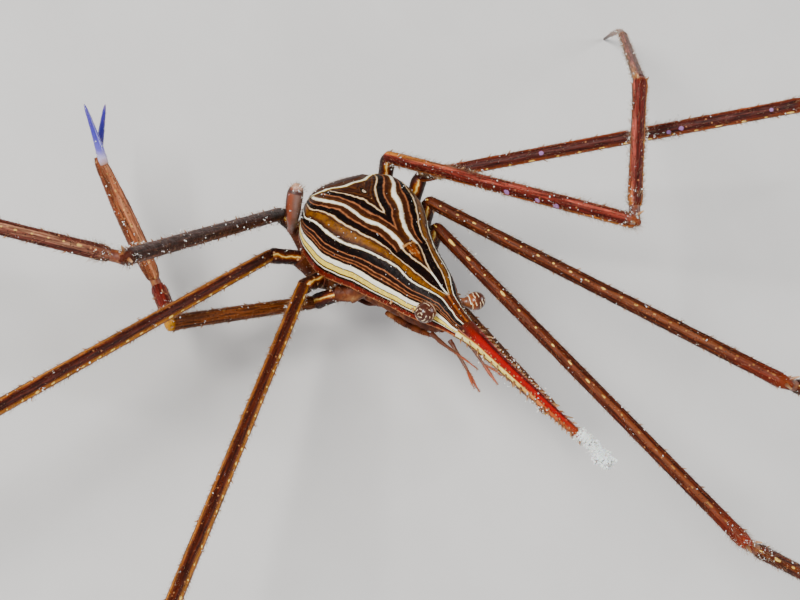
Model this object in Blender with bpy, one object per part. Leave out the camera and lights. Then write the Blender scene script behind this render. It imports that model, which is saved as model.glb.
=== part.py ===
"""Arrow crab standing with its rostrum raised: a still model at life size."""

import math
import random

import bmesh
import bpy
from mathutils import Matrix, Vector

MM = 0.001
GAP = 0.3 * MM

# Stance of the body over the floor
PITCH_DEG = 30.0
ROLL_DEG = 5.0
BODY_HEIGHT = 11.0 * MM
SHIFT_X = -40.116 * MM
SHIFT_Y = 11.66 * MM

# Carapace stations: x, top, half width, margin height, squareness of the arch
CARAPACE = (
    (-3.0, 4.45, 2.6, 3.3, 2.3),
    (-2.6, 5.0, 3.9, 2.8, 2.7),
    (-1.7, 5.8, 5.4, 2.1, 3.2),
    (-0.4, 6.5, 6.65, 1.5, 3.6),
    (1.2, 6.95, 7.6, 0.8, 3.9),
    (3.0, 7.0, 8.0, 0.2, 3.9),
    (5.0, 6.95, 7.95, -0.4, 3.8),
    (6.6, 6.85, 7.4, -0.7, 3.8),
    (8.2, 6.65, 6.65, -0.6, 3.7),
    (9.8, 6.4, 5.95, -0.3, 3.5),
    (11.6, 6.1, 5.3, -0.2, 3.3),
    (13.6, 5.8, 4.65, 0.1, 3.3),
    (15.6, 5.5, 4.1, 0.5, 3.3),
    (17.6, 5.25, 3.5, 0.7, 3.3),
    (19.4, 4.9, 2.9, 1.0, 2.8),
    (21.2, 4.5, 2.2, 1.3, 2.3),
    (22.8, 4.15, 1.75, 1.5, 2.1),
    (24.4, 3.95, 1.5, 1.65, 2.0),
)
CARAPACE_FLOOR = 0.5
TOP_SIDES = 22
FLOOR_SIDES = 8

# Underside stations: x, half width, lowest height
UNDERSIDE = (
    (0.6, 2.6, -3.2),
    (1.6, 3.7, -4.1),
    (4.0, 4.3, -4.7),
    (7.0, 4.0, -4.6),
    (10.0, 3.2, -3.9),
    (13.0, 2.5, -3.1),
    (16.0, 1.95, -2.45),
    (18.6, 1.5, -1.7),
    (20.6, 1.0, -0.85),
)

# Rostrum stations: x, height of the centre, half width, half height
ROSTRUM = (
    (24.7, 2.75, 1.5, 1.15),
    (26.5, 2.75, 1.25, 1.0),
    (29.0, 2.85, 1.0, 0.88),
    (33.0, 3.05, 0.82, 0.76),
    (37.5, 3.35, 0.7, 0.66),
    (42.0, 3.65, 0.58, 0.56),
    (46.3, 3.95, 0.46, 0.46),
)
ROSTRUM_SPINES = 11
ROSTRUM_SPINE_LENGTH = 0.85 * MM

# Leg dimensions by pair, in millimetres
MERUS = {2: 54.5, 3: 50.0, 4: 48.0, 5: 36.0}
CARPUS = {2: 17.0, 3: 16.5, 4: 17.0, 5: 17.5}
PROPODUS = {2: 49.0, 3: 45.0, 4: 42.0, 5: 38.0}
DACTYL = {2: 16.0, 3: 15.0, 4: 14.5, 5: 14.0}
MERUS_RADIUS = (0.84, 1.0)
CARPUS_RADIUS = (0.92, 0.9)
PROPODUS_RADIUS = (0.72, 0.52)
DACTYL_RADIUS = (0.46, 0.2)
LEG_SIDES = 8
FOOT_RADIUS = 0.2 * MM

# Root of each limb on the left side: coxa, bend, hip, in the frame of the body
ROOTS = {
    ("L", 1): ((10.9, 4.4, -3.7), (10.6, 5.7, -3.8), (9.9, 6.4, -2.6)),
    ("L", 2): ((8.2, 5.3, -4.0), (7.4, 8.4, -3.0), (6.9, 9.3, 1.4)),
    ("L", 3): ((5.3, 5.4, -3.9), (4.6, 9.1, -2.4), (4.1, 9.8, 3.3)),
    ("L", 4): ((2.4, 5.1, -3.4), (1.8, 9.0, -1.4), (1.4, 9.9, 5.3)),
    ("L", 5): ((-0.4, 3.9, -1.7), (-1.8, 7.4, 0.6), (-2.2, 7.3, 6.6)),
    ("R", 1): ((9.0, 4.9, -2.4), (8.0, 5.75, -2.85), (6.25, 7.7, -4.95)),
    ("R", 2): ((5.2, 5.9, -3.0), (5.5, 7.2, -2.05), (6.9, 10.75, -0.8)),
    ("R", 3): ((3.2, 5.4, -3.9), (1.8, 7.9, -1.2), (0.64, 11.35, -0.5)),
    ("R", 4): ((1.0, 4.9, -3.2), (-2.38, 5.35, -0.6), (-3.98, 6.96, 1.0)),
}

# Pose of each leg: merus azimuth and elevation, carpus azimuth and elevation,
# propodus azimuth, elevation at the tip of the dactyl
LEGS = {
    ("L", 2): (14.8, 12.0, 52.0, -20.0, 44.0, -62.0),
    ("L", 3): (28.0, 25.8, 68.0, -26.0, 62.0, -64.0),
    ("L", 4): (70.7, 33.9, 85.0, -20.0, 94.0, -70.0),
    ("L", 5): (27.8, 44.8, 150.0, 3.0, 122.0, -80.0),
    ("R", 2): (-51.1, 17.1, -47.0, -12.0, -43.0, -62.0),
    ("R", 3): (-79.6, 14.8, -85.0, -6.0, -89.0, -62.0),
    ("R", 4): (-80.6, 42.3, -127.0, -8.0, -124.0, -78.0),
}

# Claw limbs: merus, carpus and palm as azimuth, elevation, length, then fingers
CLAWS = {
    "R": ((-100.1, 5.1, 19.5), (166.0, -24.0, 5.4), (-173.8, 13.5, 17.2),
          (-178.0, 26.0, 7.2), (146.0, -14.0, 6.6)),
    "L": ((20.0, -1.0, 22.5), (107.0, -61.0, 5.4), (-159.4, -5.5, 17.2),
          (-161.0, -8.0, 7.2), (-149.0, 7.0, 6.6)),
}

# Eyes, feelers and mouthparts on the left side
EYE_CENTRE = (21.3, 4.0, 3.0)
EYE_RADIUS = 1.35 * MM

COLOURS = {
    "carapace": (0.16, 0.05, 0.03),
    "rostrum": (0.55, 0.06, 0.04),
    "underside": (0.32, 0.16, 0.10),
    "limb": (0.30, 0.09, 0.05),
    "claw": (0.42, 0.20, 0.15),
    "finger": (0.20, 0.17, 0.62),
    "eye": (0.12, 0.05, 0.03),
    "feeler": (0.30, 0.16, 0.12),
    "growth": (0.86, 0.85, 0.80),
}


# The body frame has x to the rostrum, y to the left and z to the back
BODY_TURN = (
    Matrix.Rotation(math.radians(-ROLL_DEG), 3, "X")
    @ Matrix.Rotation(math.radians(-PITCH_DEG), 3, "Y")
)
SHIFT = Vector((SHIFT_X, SHIFT_Y, BODY_HEIGHT))


def place(point):
    """Take a point of the body frame in millimetres to the world in metres."""
    return BODY_TURN @ (Vector(point) * MM) + SHIFT


def turn(direction):
    """Take a direction of the body frame to the world."""
    return (BODY_TURN @ Vector(direction)).normalized()


def heading(azimuth, elevation):
    """Unit vector from an azimuth and an elevation in degrees."""
    a = math.radians(azimuth)
    e = math.radians(elevation)
    return Vector((math.cos(e) * math.cos(a), math.cos(e) * math.sin(a), math.sin(e)))


def clear_scene():
    for obj in list(bpy.data.objects):
        bpy.data.objects.remove(obj, do_unlink=True)


def material(slot):
    found = bpy.data.materials.get(slot)
    if found:
        return found
    made = bpy.data.materials.new(slot)
    made.use_nodes = True
    shader = made.node_tree.nodes["Principled BSDF"]
    shader.inputs["Base Color"].default_value = (*COLOURS[slot], 1.0)
    shader.inputs["Roughness"].default_value = 0.45
    made.diffuse_color = (*COLOURS[slot], 1.0)
    return made


def mesh_object(name, bm):
    bmesh.ops.recalc_face_normals(bm, faces=bm.faces)
    mesh = bpy.data.meshes.new(name)
    bm.to_mesh(mesh)
    bm.free()
    obj = bpy.data.objects.new(name, mesh)
    bpy.context.scene.collection.objects.link(obj)
    return obj


def skin_rings(bm, rings):
    """Join equal rings of points into one closed body."""
    rows = [[bm.verts.new(point) for point in ring] for ring in rings]
    count = len(rows[0])
    for low, high in zip(rows, rows[1:]):
        for i in range(count):
            j = (i + 1) % count
            bm.faces.new((low[i], low[j], high[j], high[i]))
    bm.faces.new(list(reversed(rows[0])))
    bm.faces.new(rows[-1])


def ring_at(centre, normal, up, width, height, sides):
    """Oval ring of points around a centre, square to a normal."""
    across = normal.cross(up).normalized()
    rise = across.cross(normal).normalized()
    points = []
    for i in range(sides):
        t = 2.0 * math.pi * (i + 0.5) / sides
        points.append(centre + across * (width * math.cos(t)) + rise * (height * math.sin(t)))
    return points


def tangents(path):
    """Direction of a path at each of its points."""
    found = []
    for i in range(len(path)):
        before = path[max(i - 1, 0)]
        after = path[min(i + 1, len(path) - 1)]
        found.append((after - before).normalized())
    return found


def tube_rings(path, radii, sides, up, flat=1.0, round_start=True, round_end=True):
    """Rings of a tube along a path, with rounded ends where asked."""
    along = tangents(path)
    rings = []
    if round_start:
        for angle in (70.0, 35.0):
            reach = radii[0] * math.sin(math.radians(angle))
            small = radii[0] * math.cos(math.radians(angle))
            centre = path[0] - along[0] * reach
            rings.append(ring_at(centre, along[0], up, small, small * flat, sides))
    for point, direction, radius in zip(path, along, radii):
        rings.append(ring_at(point, direction, up, radius, radius * flat, sides))
    if round_end:
        for angle in (35.0, 70.0):
            reach = radii[-1] * math.sin(math.radians(angle))
            small = radii[-1] * math.cos(math.radians(angle))
            centre = path[-1] + along[-1] * reach
            rings.append(ring_at(centre, along[-1], up, small, small * flat, sides))
    return rings


def tube(name, path, radii, sides=LEG_SIDES, up=Vector((0.0, 0.0, 1.0)), flat=1.0,
         round_start=True, round_end=True):
    bm = bmesh.new()
    skin_rings(bm, tube_rings(path, radii, sides, up, flat, round_start, round_end))
    return mesh_object(name, bm)


def spine(root, direction, length, radius, sides=5):
    """Small cone that starts inside its wearer."""
    axis = direction.normalized()
    up = axis.orthogonal().normalized()
    base = ring_at(root, axis, up, radius, radius, sides)
    bm = bmesh.new()
    low = [bm.verts.new(point) for point in base]
    tip = bm.verts.new(root + axis * length)
    for i in range(sides):
        bm.faces.new((low[i], low[(i + 1) % sides], tip))
    bm.faces.new(list(reversed(low)))
    return mesh_object("spine", bm)


def keep_largest(obj):
    """Leave only the largest closed surface of a mesh."""
    bm = bmesh.new()
    bm.from_mesh(obj.data)
    unseen = set(bm.verts)
    groups = []
    while unseen:
        start = unseen.pop()
        group = {start}
        queue = [start]
        while queue:
            vert = queue.pop()
            for edge in vert.link_edges:
                other = edge.other_vert(vert)
                if other in unseen:
                    unseen.discard(other)
                    group.add(other)
                    queue.append(other)
        groups.append(group)
    groups.sort(key=len)
    for group in groups[:-1]:
        bmesh.ops.delete(bm, geom=list(group), context="VERTS")
    bmesh.ops.triangulate(bm, faces=bm.faces)
    bmesh.ops.remove_doubles(bm, verts=bm.verts, dist=0.002 * MM)
    bm.to_mesh(obj.data)
    bm.free()


def fuse(main, pieces):
    """Unite a body with the pieces rooted in it."""
    if not pieces:
        return main
    group = bpy.data.collections.new(main.name + "_pieces")
    for piece in pieces:
        for owner in list(piece.users_collection):
            owner.objects.unlink(piece)
        group.objects.link(piece)
    union = main.modifiers.new("union", "BOOLEAN")
    union.operation = "UNION"
    union.operand_type = "COLLECTION"
    union.collection = group
    union.solver = "MANIFOLD"
    graph = bpy.context.evaluated_depsgraph_get()
    graph.update()
    joined = bpy.data.meshes.new_from_object(main.evaluated_get(graph))
    main.modifiers.remove(union)
    main.data = joined
    for piece in pieces:
        bpy.data.objects.remove(piece, do_unlink=True)
    bpy.data.collections.remove(group)
    keep_largest(main)
    return main


def finish(obj, slot):
    obj.data.materials.clear()
    obj.data.materials.append(material(slot))
    return obj


# Carapace, rostrum and underside
def arch(x, top, half, margin, square):
    """One section of the carapace: an arch over a shallow floor."""
    points = []
    power = 2.0 / square
    for i in range(TOP_SIDES + 1):
        t = math.pi * i / TOP_SIDES
        y = half * math.copysign(abs(math.cos(t)) ** power, math.cos(t))
        z = margin + (top - margin) * math.sin(t) ** power if 0 < i < TOP_SIDES else margin
        points.append(place((x, y, z)))
    for i in range(1, FLOOR_SIDES):
        t = math.pi * i / FLOOR_SIDES
        points.append(place((x, -half * math.cos(t), margin - CARAPACE_FLOOR * math.sin(t))))
    return points


def carapace():
    bm = bmesh.new()
    skin_rings(bm, [arch(*station) for station in CARAPACE])
    body = mesh_object("carapace", bm)
    spines = []
    for side in (1.0, -1.0):
        root = place((18.2, side * 3.0, 2.1))
        spines.append(spine(root, turn((0.7, side * 0.7, 0.1)), 1.3 * MM, 0.4 * MM, 6))
        root = place((15.4, side * 3.8, 1.3))
        spines.append(spine(root, turn((0.35, side * 0.9, 0.1)), 1.2 * MM, 0.42 * MM, 6))
    spines.append(spine(place((12.0, 0.0, 5.3)), turn((0.35, 0.0, 1.0)), 1.5 * MM, 0.5 * MM, 6))
    spines.append(spine(place((4.0, 0.0, 6.4)), turn((0.0, 0.0, 1.0)), 1.3 * MM, 0.6 * MM, 6))
    return finish(fuse(body, spines), "carapace")


def underside_top(x):
    """Height of the carapace floor over a station, less the gap."""
    for low, high in zip(CARAPACE, CARAPACE[1:]):
        if low[0] <= x <= high[0]:
            share = (x - low[0]) / (high[0] - low[0])
            return low[3] + share * (high[3] - low[3]) - CARAPACE_FLOOR - 0.45
    return CARAPACE[-1][3] - CARAPACE_FLOOR - 0.45


def underside():
    rings = []
    sides = 20
    for x, half, low in UNDERSIDE:
        top = underside_top(x)
        middle = 0.5 * (top + low)
        rise = 0.5 * (top - low)
        ring = []
        for i in range(sides):
            t = 2.0 * math.pi * (i + 0.5) / sides
            y = half * math.copysign(abs(math.cos(t)) ** 0.6, math.cos(t))
            z = middle + rise * math.copysign(abs(math.sin(t)) ** 0.6, math.sin(t))
            ring.append(place((x, y, z)))
        rings.append(ring)
    bm = bmesh.new()
    skin_rings(bm, rings)
    return finish(mesh_object("underside", bm), "underside")


def abdomen():
    """Narrow flap folded forward under the body."""
    path = [(-2.5, 0.0, 1.6), (-2.9, 0.0, -0.6), (-1.7, 0.0, -3.0), (0.6, 0.0, -4.9),
            (3.4, 0.0, -6.1), (6.4, 0.0, -6.4), (9.0, 0.0, -6.0)]
    widths = [2.4, 2.9, 3.0, 2.7, 2.3, 1.8, 1.2]
    rings = []
    points = [place(point) for point in path]
    up = turn((0.0, 1.0, 0.0))
    for point, direction, width in zip(points, tangents(points), widths):
        rings.append(ring_at(point, direction, up, 0.55 * MM, width * MM, 12))
    bm = bmesh.new()
    skin_rings(bm, rings)
    return finish(mesh_object("abdomen", bm), "underside")


def rostrum():
    up = turn((0.0, 0.0, 1.0))
    rings = []
    points = [place((x, 0.0, z)) for x, z, half, rise in ROSTRUM]
    for point, direction, station in zip(points, tangents(points), ROSTRUM):
        rings.append(ring_at(point, direction, up, station[2] * MM, station[3] * MM, 14))
    bm = bmesh.new()
    skin_rings(bm, rings)
    body = mesh_object("rostrum", bm)
    rng = random.Random(7)
    spines = []
    for i in range(ROSTRUM_SPINES):
        share = (i + 0.5) / ROSTRUM_SPINES
        x = 27.0 + share * 18.6
        half = 1.22 - 0.74 * share ** 0.6
        z = 2.78 + 1.15 * share
        for side in (1.0, -1.0):
            root = place((x + rng.uniform(-0.25, 0.25), side * half * 0.55, z + 0.1))
            lean = turn((0.75, side * 0.9, 0.25 + rng.uniform(-0.1, 0.1)))
            spines.append(spine(root, lean, half * 0.5 * MM + ROSTRUM_SPINE_LENGTH, 0.24 * MM))
    return finish(fuse(body, spines), "rostrum")


def rostrum_growth():
    """Tufty sponge that the crab wears on the end of its rostrum."""
    rng = random.Random(21)
    up = turn((0.0, 0.0, 1.0))
    count = 12
    sides = 12
    rings = []
    for i in range(count):
        share = i / (count - 1)
        centre = (46.65 + 5.9 * share, 0.15 * math.sin(5.0 * share), 3.95 + 0.35 * share)
        swell = 0.5 + 0.42 * math.sin(math.pi * min(1.0, 0.12 + 1.05 * share))
        if i == count - 1:
            swell = 0.35
        ring = []
        normal = turn((1.0, 0.0, 0.06))
        across = normal.cross(up).normalized()
        rise = across.cross(normal).normalized()
        for k in range(sides):
            t = 2.0 * math.pi * (k + 0.5) / sides
            reach = swell * rng.uniform(0.82, 1.2) * MM
            ring.append(place(centre) + across * (reach * math.cos(t)) + rise * (reach * math.sin(t)))
        rings.append(ring)
    bm = bmesh.new()
    skin_rings(bm, rings)
    body = mesh_object("rostrum_growth", bm)
    tufts = []
    for i in range(16):
        share = rng.random()
        t = rng.uniform(0.0, 2.0 * math.pi)
        root = place((47.4 + 4.8 * share, 0.0, 4.0 + 0.3 * share))
        lean = turn((0.5, math.cos(t), math.sin(t)))
        tufts.append(spine(root, lean, rng.uniform(1.2, 1.75) * MM, 0.34 * MM))
    return finish(fuse(body, tufts), "growth")


# Eyes, feelers and mouthparts
def eye(side, sign):
    centre = place((EYE_CENTRE[0], sign * EYE_CENTRE[1], EYE_CENTRE[2]))
    bm = bmesh.new()
    bmesh.ops.create_uvsphere(bm, u_segments=16, v_segments=10, radius=EYE_RADIUS)
    bmesh.ops.translate(bm, vec=centre, verts=bm.verts)
    globe = mesh_object("eye_" + side, bm)
    outward = turn((0.25, sign, 0.0))
    start = centre - outward * (EYE_RADIUS + 0.1 * MM)
    stalk = tube("stalk", [start, centre], [0.6 * MM, 0.7 * MM], 10, round_start=False)
    return finish(fuse(globe, [stalk]), "eye")


def antennule(side, sign):
    path = [(23.4, sign * 0.85, 0.2), (25.2, sign * 1.1, -0.1), (27.2, sign * 1.2, -0.7),
            (28.6, sign * 1.3, -1.2), (30.6, sign * 1.4, -1.8)]
    points = [place(point) for point in path]
    radii = [r * MM for r in (0.42, 0.38, 0.32, 0.34, 0.22)]
    stem = tube("antennule_" + side, points, radii, 8)
    fork_path = [place((27.8, sign * 1.25, -0.9)), place((29.2, sign * 1.9, -0.9)),
                 place((30.4, sign * 2.2, -1.1))]
    fork = tube("fork", fork_path, [0.24 * MM, 0.24 * MM, 0.18 * MM], 8)
    return finish(fuse(stem, [fork]), "feeler")


def antenna(side, sign):
    path = [(21.2, sign * 1.9, -0.1), (23.4, sign * 2.15, 0.4), (25.6, sign * 2.2, 0.9),
            (27.8, sign * 2.1, 1.3), (30.0, sign * 2.0, 1.6)]
    points = [place(point) for point in path]
    radii = [r * MM for r in (0.5, 0.42, 0.32, 0.27, 0.25)]
    return finish(tube("antenna_" + side, points, radii, 8), "feeler")


def maxilliped(side, sign):
    path = [(12.4, sign * 1.15, -4.7), (15.0, sign * 1.15, -3.9), (17.8, sign * 1.05, -2.95),
            (20.2, sign * 0.9, -1.95)]
    points = [place(point) for point in path]
    radii = [r * MM for r in (0.6, 0.8, 0.75, 0.5)]
    up = turn((0.0, 0.0, 1.0))
    return finish(tube("maxilliped_" + side, points, radii, 10, up, 0.6), "underside")


# Limbs
def mirrored(point, side):
    return (point[0], point[1] if side == "L" else -point[1], point[2])


def start_offset(back, onward, ball, radius):
    """Distance from a joint to the flat start of the next segment."""
    cosine = max(-1.0, min(1.0, back.dot(onward)))
    reach = ball + GAP
    if cosine > 0.0:
        reach = (ball + GAP + radius * cosine) / math.sqrt(1.0 - cosine * cosine)
    return reach


def segment(name, start, end, radii, back, ball, slot, sides=LEG_SIDES, round_end=True):
    """Limb segment whose flat start faces the ball of the one before."""
    onward = (end - start).normalized()
    offset = start_offset(back, onward, ball, radii[0] * 0.8)
    first = start + onward * offset
    length = (end - first).length
    path = [first, first + onward * 0.35 * MM]
    sizes = [radii[0] * 0.78, radii[0]]
    for share in (0.3, 0.6, 0.85):
        path.append(first + onward * (length * share))
        sizes.append(radii[0] + (radii[1] - radii[0]) * share)
    path.append(end)
    sizes.append(radii[1])
    obj = tube(name, path, sizes, sides, round_start=False, round_end=round_end)
    return finish(obj, slot)


def limb_root(name, side, number, knee, radii, slot, thorns):
    """Coxa, ischium and merus of a limb as one body."""
    coxa, bend, hip = (place(mirrored(point, side)) for point in ROOTS[side, number])
    onward = (knee - hip).normalized()
    length = (knee - hip).length
    path = [hip]
    sizes = [radii[0]]
    for share in (0.12, 0.4, 0.75, 0.93):
        path.append(hip + onward * (length * share))
        sizes.append(radii[0] + (radii[1] - radii[0]) * share)
    path.append(knee)
    sizes.append(radii[1] * 1.04)
    merus = tube(name, path, sizes)
    pieces = [
        tube("coxa", [coxa, bend], [1.02 * MM, 0.98 * MM], 10, round_start=False),
        tube("ischium", [bend, hip], [0.93 * MM, 0.88 * MM], 10),
    ]
    rng = random.Random(number * 10 + (1 if side == "L" else 2))
    rise = onward.cross(Vector((0.0, 0.0, 1.0))).normalized().cross(onward)
    across = onward.cross(rise).normalized()
    for i in range(thorns):
        share = (i + 0.6) / thorns * 0.86 + rng.uniform(-0.02, 0.02)
        radius = radii[0] + (radii[1] - radii[0]) * share
        lean = (rise * -0.5 + across * (0.9 if i % 2 else -0.9)).normalized()
        root = hip + onward * (length * share) + lean * (radius * 0.45)
        pieces.append(spine(root, lean + onward * 0.35, radius * 0.6 + 0.45 * MM, 0.22 * MM))
    for sign in (1.0, -1.0):
        lean = (rise * 0.7 + across * 0.7 * sign).normalized()
        root = knee + lean * (radii[1] * 0.3)
        pieces.append(spine(root, lean + onward * 0.8, radii[1] + 0.75 * MM, 0.3 * MM, 6))
    return finish(fuse(merus, pieces), slot)


def dactyl_path(start, azimuth, first, last, length):
    """Points of a dactyl that curves from one elevation down to another."""
    steps = 6
    points = [start]
    for i in range(steps):
        share = (i + 0.5) / steps
        elevation = first + (last - first) * share ** 1.3
        points.append(points[-1] + heading(azimuth, elevation) * (length / steps))
    return points


def settle(wrist, azimuth, last, shank, claw):
    """Find the slope of a propodus that sets its dactyl on the floor."""
    low = last
    high = 30.0
    for _ in range(50):
        slope = 0.5 * (low + high)
        ankle = wrist + heading(azimuth, slope) * shank
        tip = dactyl_path(ankle, azimuth, slope, last, claw)[-1]
        if tip.z > 0.0:
            high = slope
        else:
            low = slope
    return slope


def foot(name, ankle, azimuth, slope, last, length, back):
    """Dactyl that ends in a small flat on the floor."""
    path = dactyl_path(ankle, azimuth, slope, last, length)
    onward = (path[1] - path[0]).normalized()
    ball = PROPODUS_RADIUS[1] * MM
    reach = ball + GAP
    points = [path[0] + onward * reach, path[0] + onward * (reach + 0.3 * MM)] + path[1:-1]
    along = [onward, onward] + tangents(path)[1:-1]
    up = Vector((0.0, 0.0, 1.0))
    rings = []
    count = len(points)
    for i, (point, direction) in enumerate(zip(points, along)):
        share = max(0.0, (i - 1) / (count - 1))
        size = DACTYL_RADIUS[0] + (DACTYL_RADIUS[1] - DACTYL_RADIUS[0]) * share
        if i == 0:
            size = size * 0.75
        rings.append(ring_at(point, direction, up, size * MM, size * MM, LEG_SIDES))
    tip = Vector((path[-1].x, path[-1].y, 0.0))
    side = heading(azimuth, 0.0)
    flat = []
    across = Vector((0.0, 0.0, -1.0)).cross(side).normalized()
    for i in range(LEG_SIDES):
        t = 2.0 * math.pi * (i + 0.5) / LEG_SIDES
        flat.append(tip + across * (FOOT_RADIUS * math.cos(t)) + side * (FOOT_RADIUS * math.sin(t)))
    rings.append(flat)
    bm = bmesh.new()
    skin_rings(bm, rings)
    return finish(mesh_object(name, bm), "limb")


def leg(side, number, pose):
    label = "leg_%s%d_" % (side, number)
    hip = place(mirrored(ROOTS[side, number][2], side))
    knee = hip + heading(pose[0], pose[1]) * (MERUS[number] * MM)
    radii = [r * MM for r in MERUS_RADIUS]
    limb_root(label + "merus", side, number, knee, radii, "limb", 8)
    wrist = knee + heading(pose[2], pose[3]) * (CARPUS[number] * MM)
    back = (hip - knee).normalized()
    radii = [r * MM for r in CARPUS_RADIUS]
    segment(label + "carpus", knee, wrist, radii, back, MERUS_RADIUS[1] * 1.04 * MM, "limb")
    slope = settle(wrist, pose[4], pose[5], PROPODUS[number] * MM, DACTYL[number] * MM)
    ankle = wrist + heading(pose[4], slope) * (PROPODUS[number] * MM)
    back = (knee - wrist).normalized()
    radii = [r * MM for r in PROPODUS_RADIUS]
    segment(label + "propodus", wrist, ankle, radii, back, CARPUS_RADIUS[1] * MM, "limb")
    back = (wrist - ankle).normalized()
    foot(label + "dactylus", ankle, pose[4], slope, pose[5], DACTYL[number] * MM, back)


def finger(name, start, azimuth, elevation, length, curl, width, slot):
    """Curved finger of a claw, from a flat base to a fine tip."""
    path = []
    sizes = []
    point = start
    steps = 5
    for i in range(steps + 1):
        share = i / steps
        path.append(point)
        sizes.append(width * (1.0 - 0.68 * share))
        point = point + heading(azimuth, elevation + curl * share) * (length / steps)
    return finish(tube(name, path, sizes, 8, round_start=False), slot)


def claw(side):
    merus_pose, carpus_pose, palm_pose, fixed_pose, moving_pose = CLAWS[side]
    label = "claw_%s_" % side
    hip = place(mirrored(ROOTS[side, 1][2], side))
    elbow = hip + heading(merus_pose[0], merus_pose[1]) * (merus_pose[2] * MM)
    limb_root(label + "merus", side, 1, elbow, [0.86 * MM, 0.98 * MM], "claw", 6)
    wrist = elbow + heading(carpus_pose[0], carpus_pose[1]) * (carpus_pose[2] * MM)
    back = (hip - elbow).normalized()
    radii = [1.0 * MM, 0.98 * MM]
    segment(label + "carpus", elbow, wrist, radii, back, 1.02 * MM, "claw")
    onward = heading(palm_pose[0], palm_pose[1])
    back = (elbow - wrist).normalized()
    offset = start_offset(back, onward, 0.98 * MM, 0.7 * MM)
    first = wrist + onward * offset
    end = wrist + onward * (palm_pose[2] * MM)
    length = (end - first).length
    path = [first + onward * (length * share) for share in (0.0, 0.04, 0.3, 0.65, 0.92, 1.0)]
    sizes = [r * MM for r in (0.72, 0.95, 1.12, 1.16, 1.08, 0.98)]
    palm = tube(label + "palm", path, sizes, 12, round_start=False, round_end=False)
    away = heading(fixed_pose[0], fixed_pose[1])
    spread = (away - onward * away.dot(onward)).normalized()
    root = end - onward * (0.6 * MM) + spread * (0.42 * MM)
    fixed = finger("fixed", root, fixed_pose[0], fixed_pose[1], fixed_pose[2] * MM, -14.0,
                   0.52 * MM, "claw")
    fuse(palm, [fixed])
    finish(palm, "claw")
    away = heading(moving_pose[0], moving_pose[1])
    spread = (away - onward * away.dot(onward)).normalized()
    root = end + onward * (4.3 * GAP) + spread * (0.5 * MM)
    finger(label + "finger", root, moving_pose[0], moving_pose[1], moving_pose[2] * MM, 10.0,
           0.42 * MM, "finger")


def stump():
    """Short root of the hind right leg, which the crab has cast off."""
    path = [(-1.6, -6.8, 0.1), (-0.45, -8.25, 3.1), (-0.8, -8.25, 5.3), (-1.4, -7.7, 6.9)]
    points = [place(point) for point in path]
    radii = [r * MM for r in (0.5, 0.76, 0.88, 0.8)]
    up = turn((1.0, 0.0, 0.0))
    return finish(tube("leg_R5_stump", points, radii, 12, up, round_start=False), "limb")


clear_scene()
carapace()
rostrum()
rostrum_growth()
underside()
abdomen()
for label, sign in (("L", 1.0), ("R", -1.0)):
    eye(label, sign)
    antennule(label, sign)
    antenna(label, sign)
    maxilliped(label, sign)
for (label, number), pose in LEGS.items():
    leg(label, number, pose)
claw("R")
claw("L")
stump()
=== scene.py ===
"""Arrow crab at life size: striped shell, red beak, jointed legs, setae and a white growth."""

import itertools
import math

import bpy
import numpy as np
from mathutils import Matrix, Vector

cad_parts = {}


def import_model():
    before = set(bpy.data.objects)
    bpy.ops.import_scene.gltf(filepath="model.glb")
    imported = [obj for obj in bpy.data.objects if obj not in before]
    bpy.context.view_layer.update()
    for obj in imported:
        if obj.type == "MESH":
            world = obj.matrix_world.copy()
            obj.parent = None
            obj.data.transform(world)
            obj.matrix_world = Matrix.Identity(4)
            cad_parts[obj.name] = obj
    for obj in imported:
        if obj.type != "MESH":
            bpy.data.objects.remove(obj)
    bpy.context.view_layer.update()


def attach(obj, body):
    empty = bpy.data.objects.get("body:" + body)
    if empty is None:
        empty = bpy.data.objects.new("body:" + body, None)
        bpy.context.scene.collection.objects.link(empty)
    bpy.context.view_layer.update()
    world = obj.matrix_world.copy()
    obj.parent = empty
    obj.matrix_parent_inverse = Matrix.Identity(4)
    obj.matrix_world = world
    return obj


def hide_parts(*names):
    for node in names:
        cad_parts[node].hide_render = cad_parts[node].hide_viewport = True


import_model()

MM = 0.001
TAU = 2.0 * math.pi

# Stance of the body over the floor, as in the solids
PITCH_DEG = 30.0
ROLL_DEG = 5.0
BODY_HEIGHT = 11.0
SHIFT_X = -40.116
SHIFT_Y = 11.66
GAP = 0.3
FOOT_LIFT = 0.2

# Millimetres that one unit stands for, in the marks that the paint reads
MARK_MM = 100.0
PLACE_X = 50.0
PLACE_Y = 20.0
RIM_SCALE = 4.0
# Side of a tuft on the unwrap, cuts along a spine, and how thick the coat is
TUFT = 0.003
SPINE_CUTS = (0.0, 0.25, 0.5, 0.75, 0.92)
SETA_SHARE = 2.5
CRUMB_SHARE = 2.8
# Points round the upper side of the shell
SHELL_HALF = 200

TURN_ROWS = np.array(Matrix.Rotation(math.radians(-ROLL_DEG), 3, "X")
                     @ Matrix.Rotation(math.radians(-PITCH_DEG), 3, "Y"))
SHIFT = np.array([SHIFT_X, SHIFT_Y, BODY_HEIGHT])

# Camera in the frame of the body: way to it, roll, distance and aim in millimetres
CAMERA_WAY = (0.54, -0.54, 0.65)
CAMERA_ROLL_DEG = 46.0
CAMERA_DISTANCE = 320.0
CAMERA_LENS = 120.0
SENSOR = 36.0
AIM = (12.0, 0.0, 6.0)
AIM_PX = (408.0, 245.0)
IMAGE = (800.0, 600.0)

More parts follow.
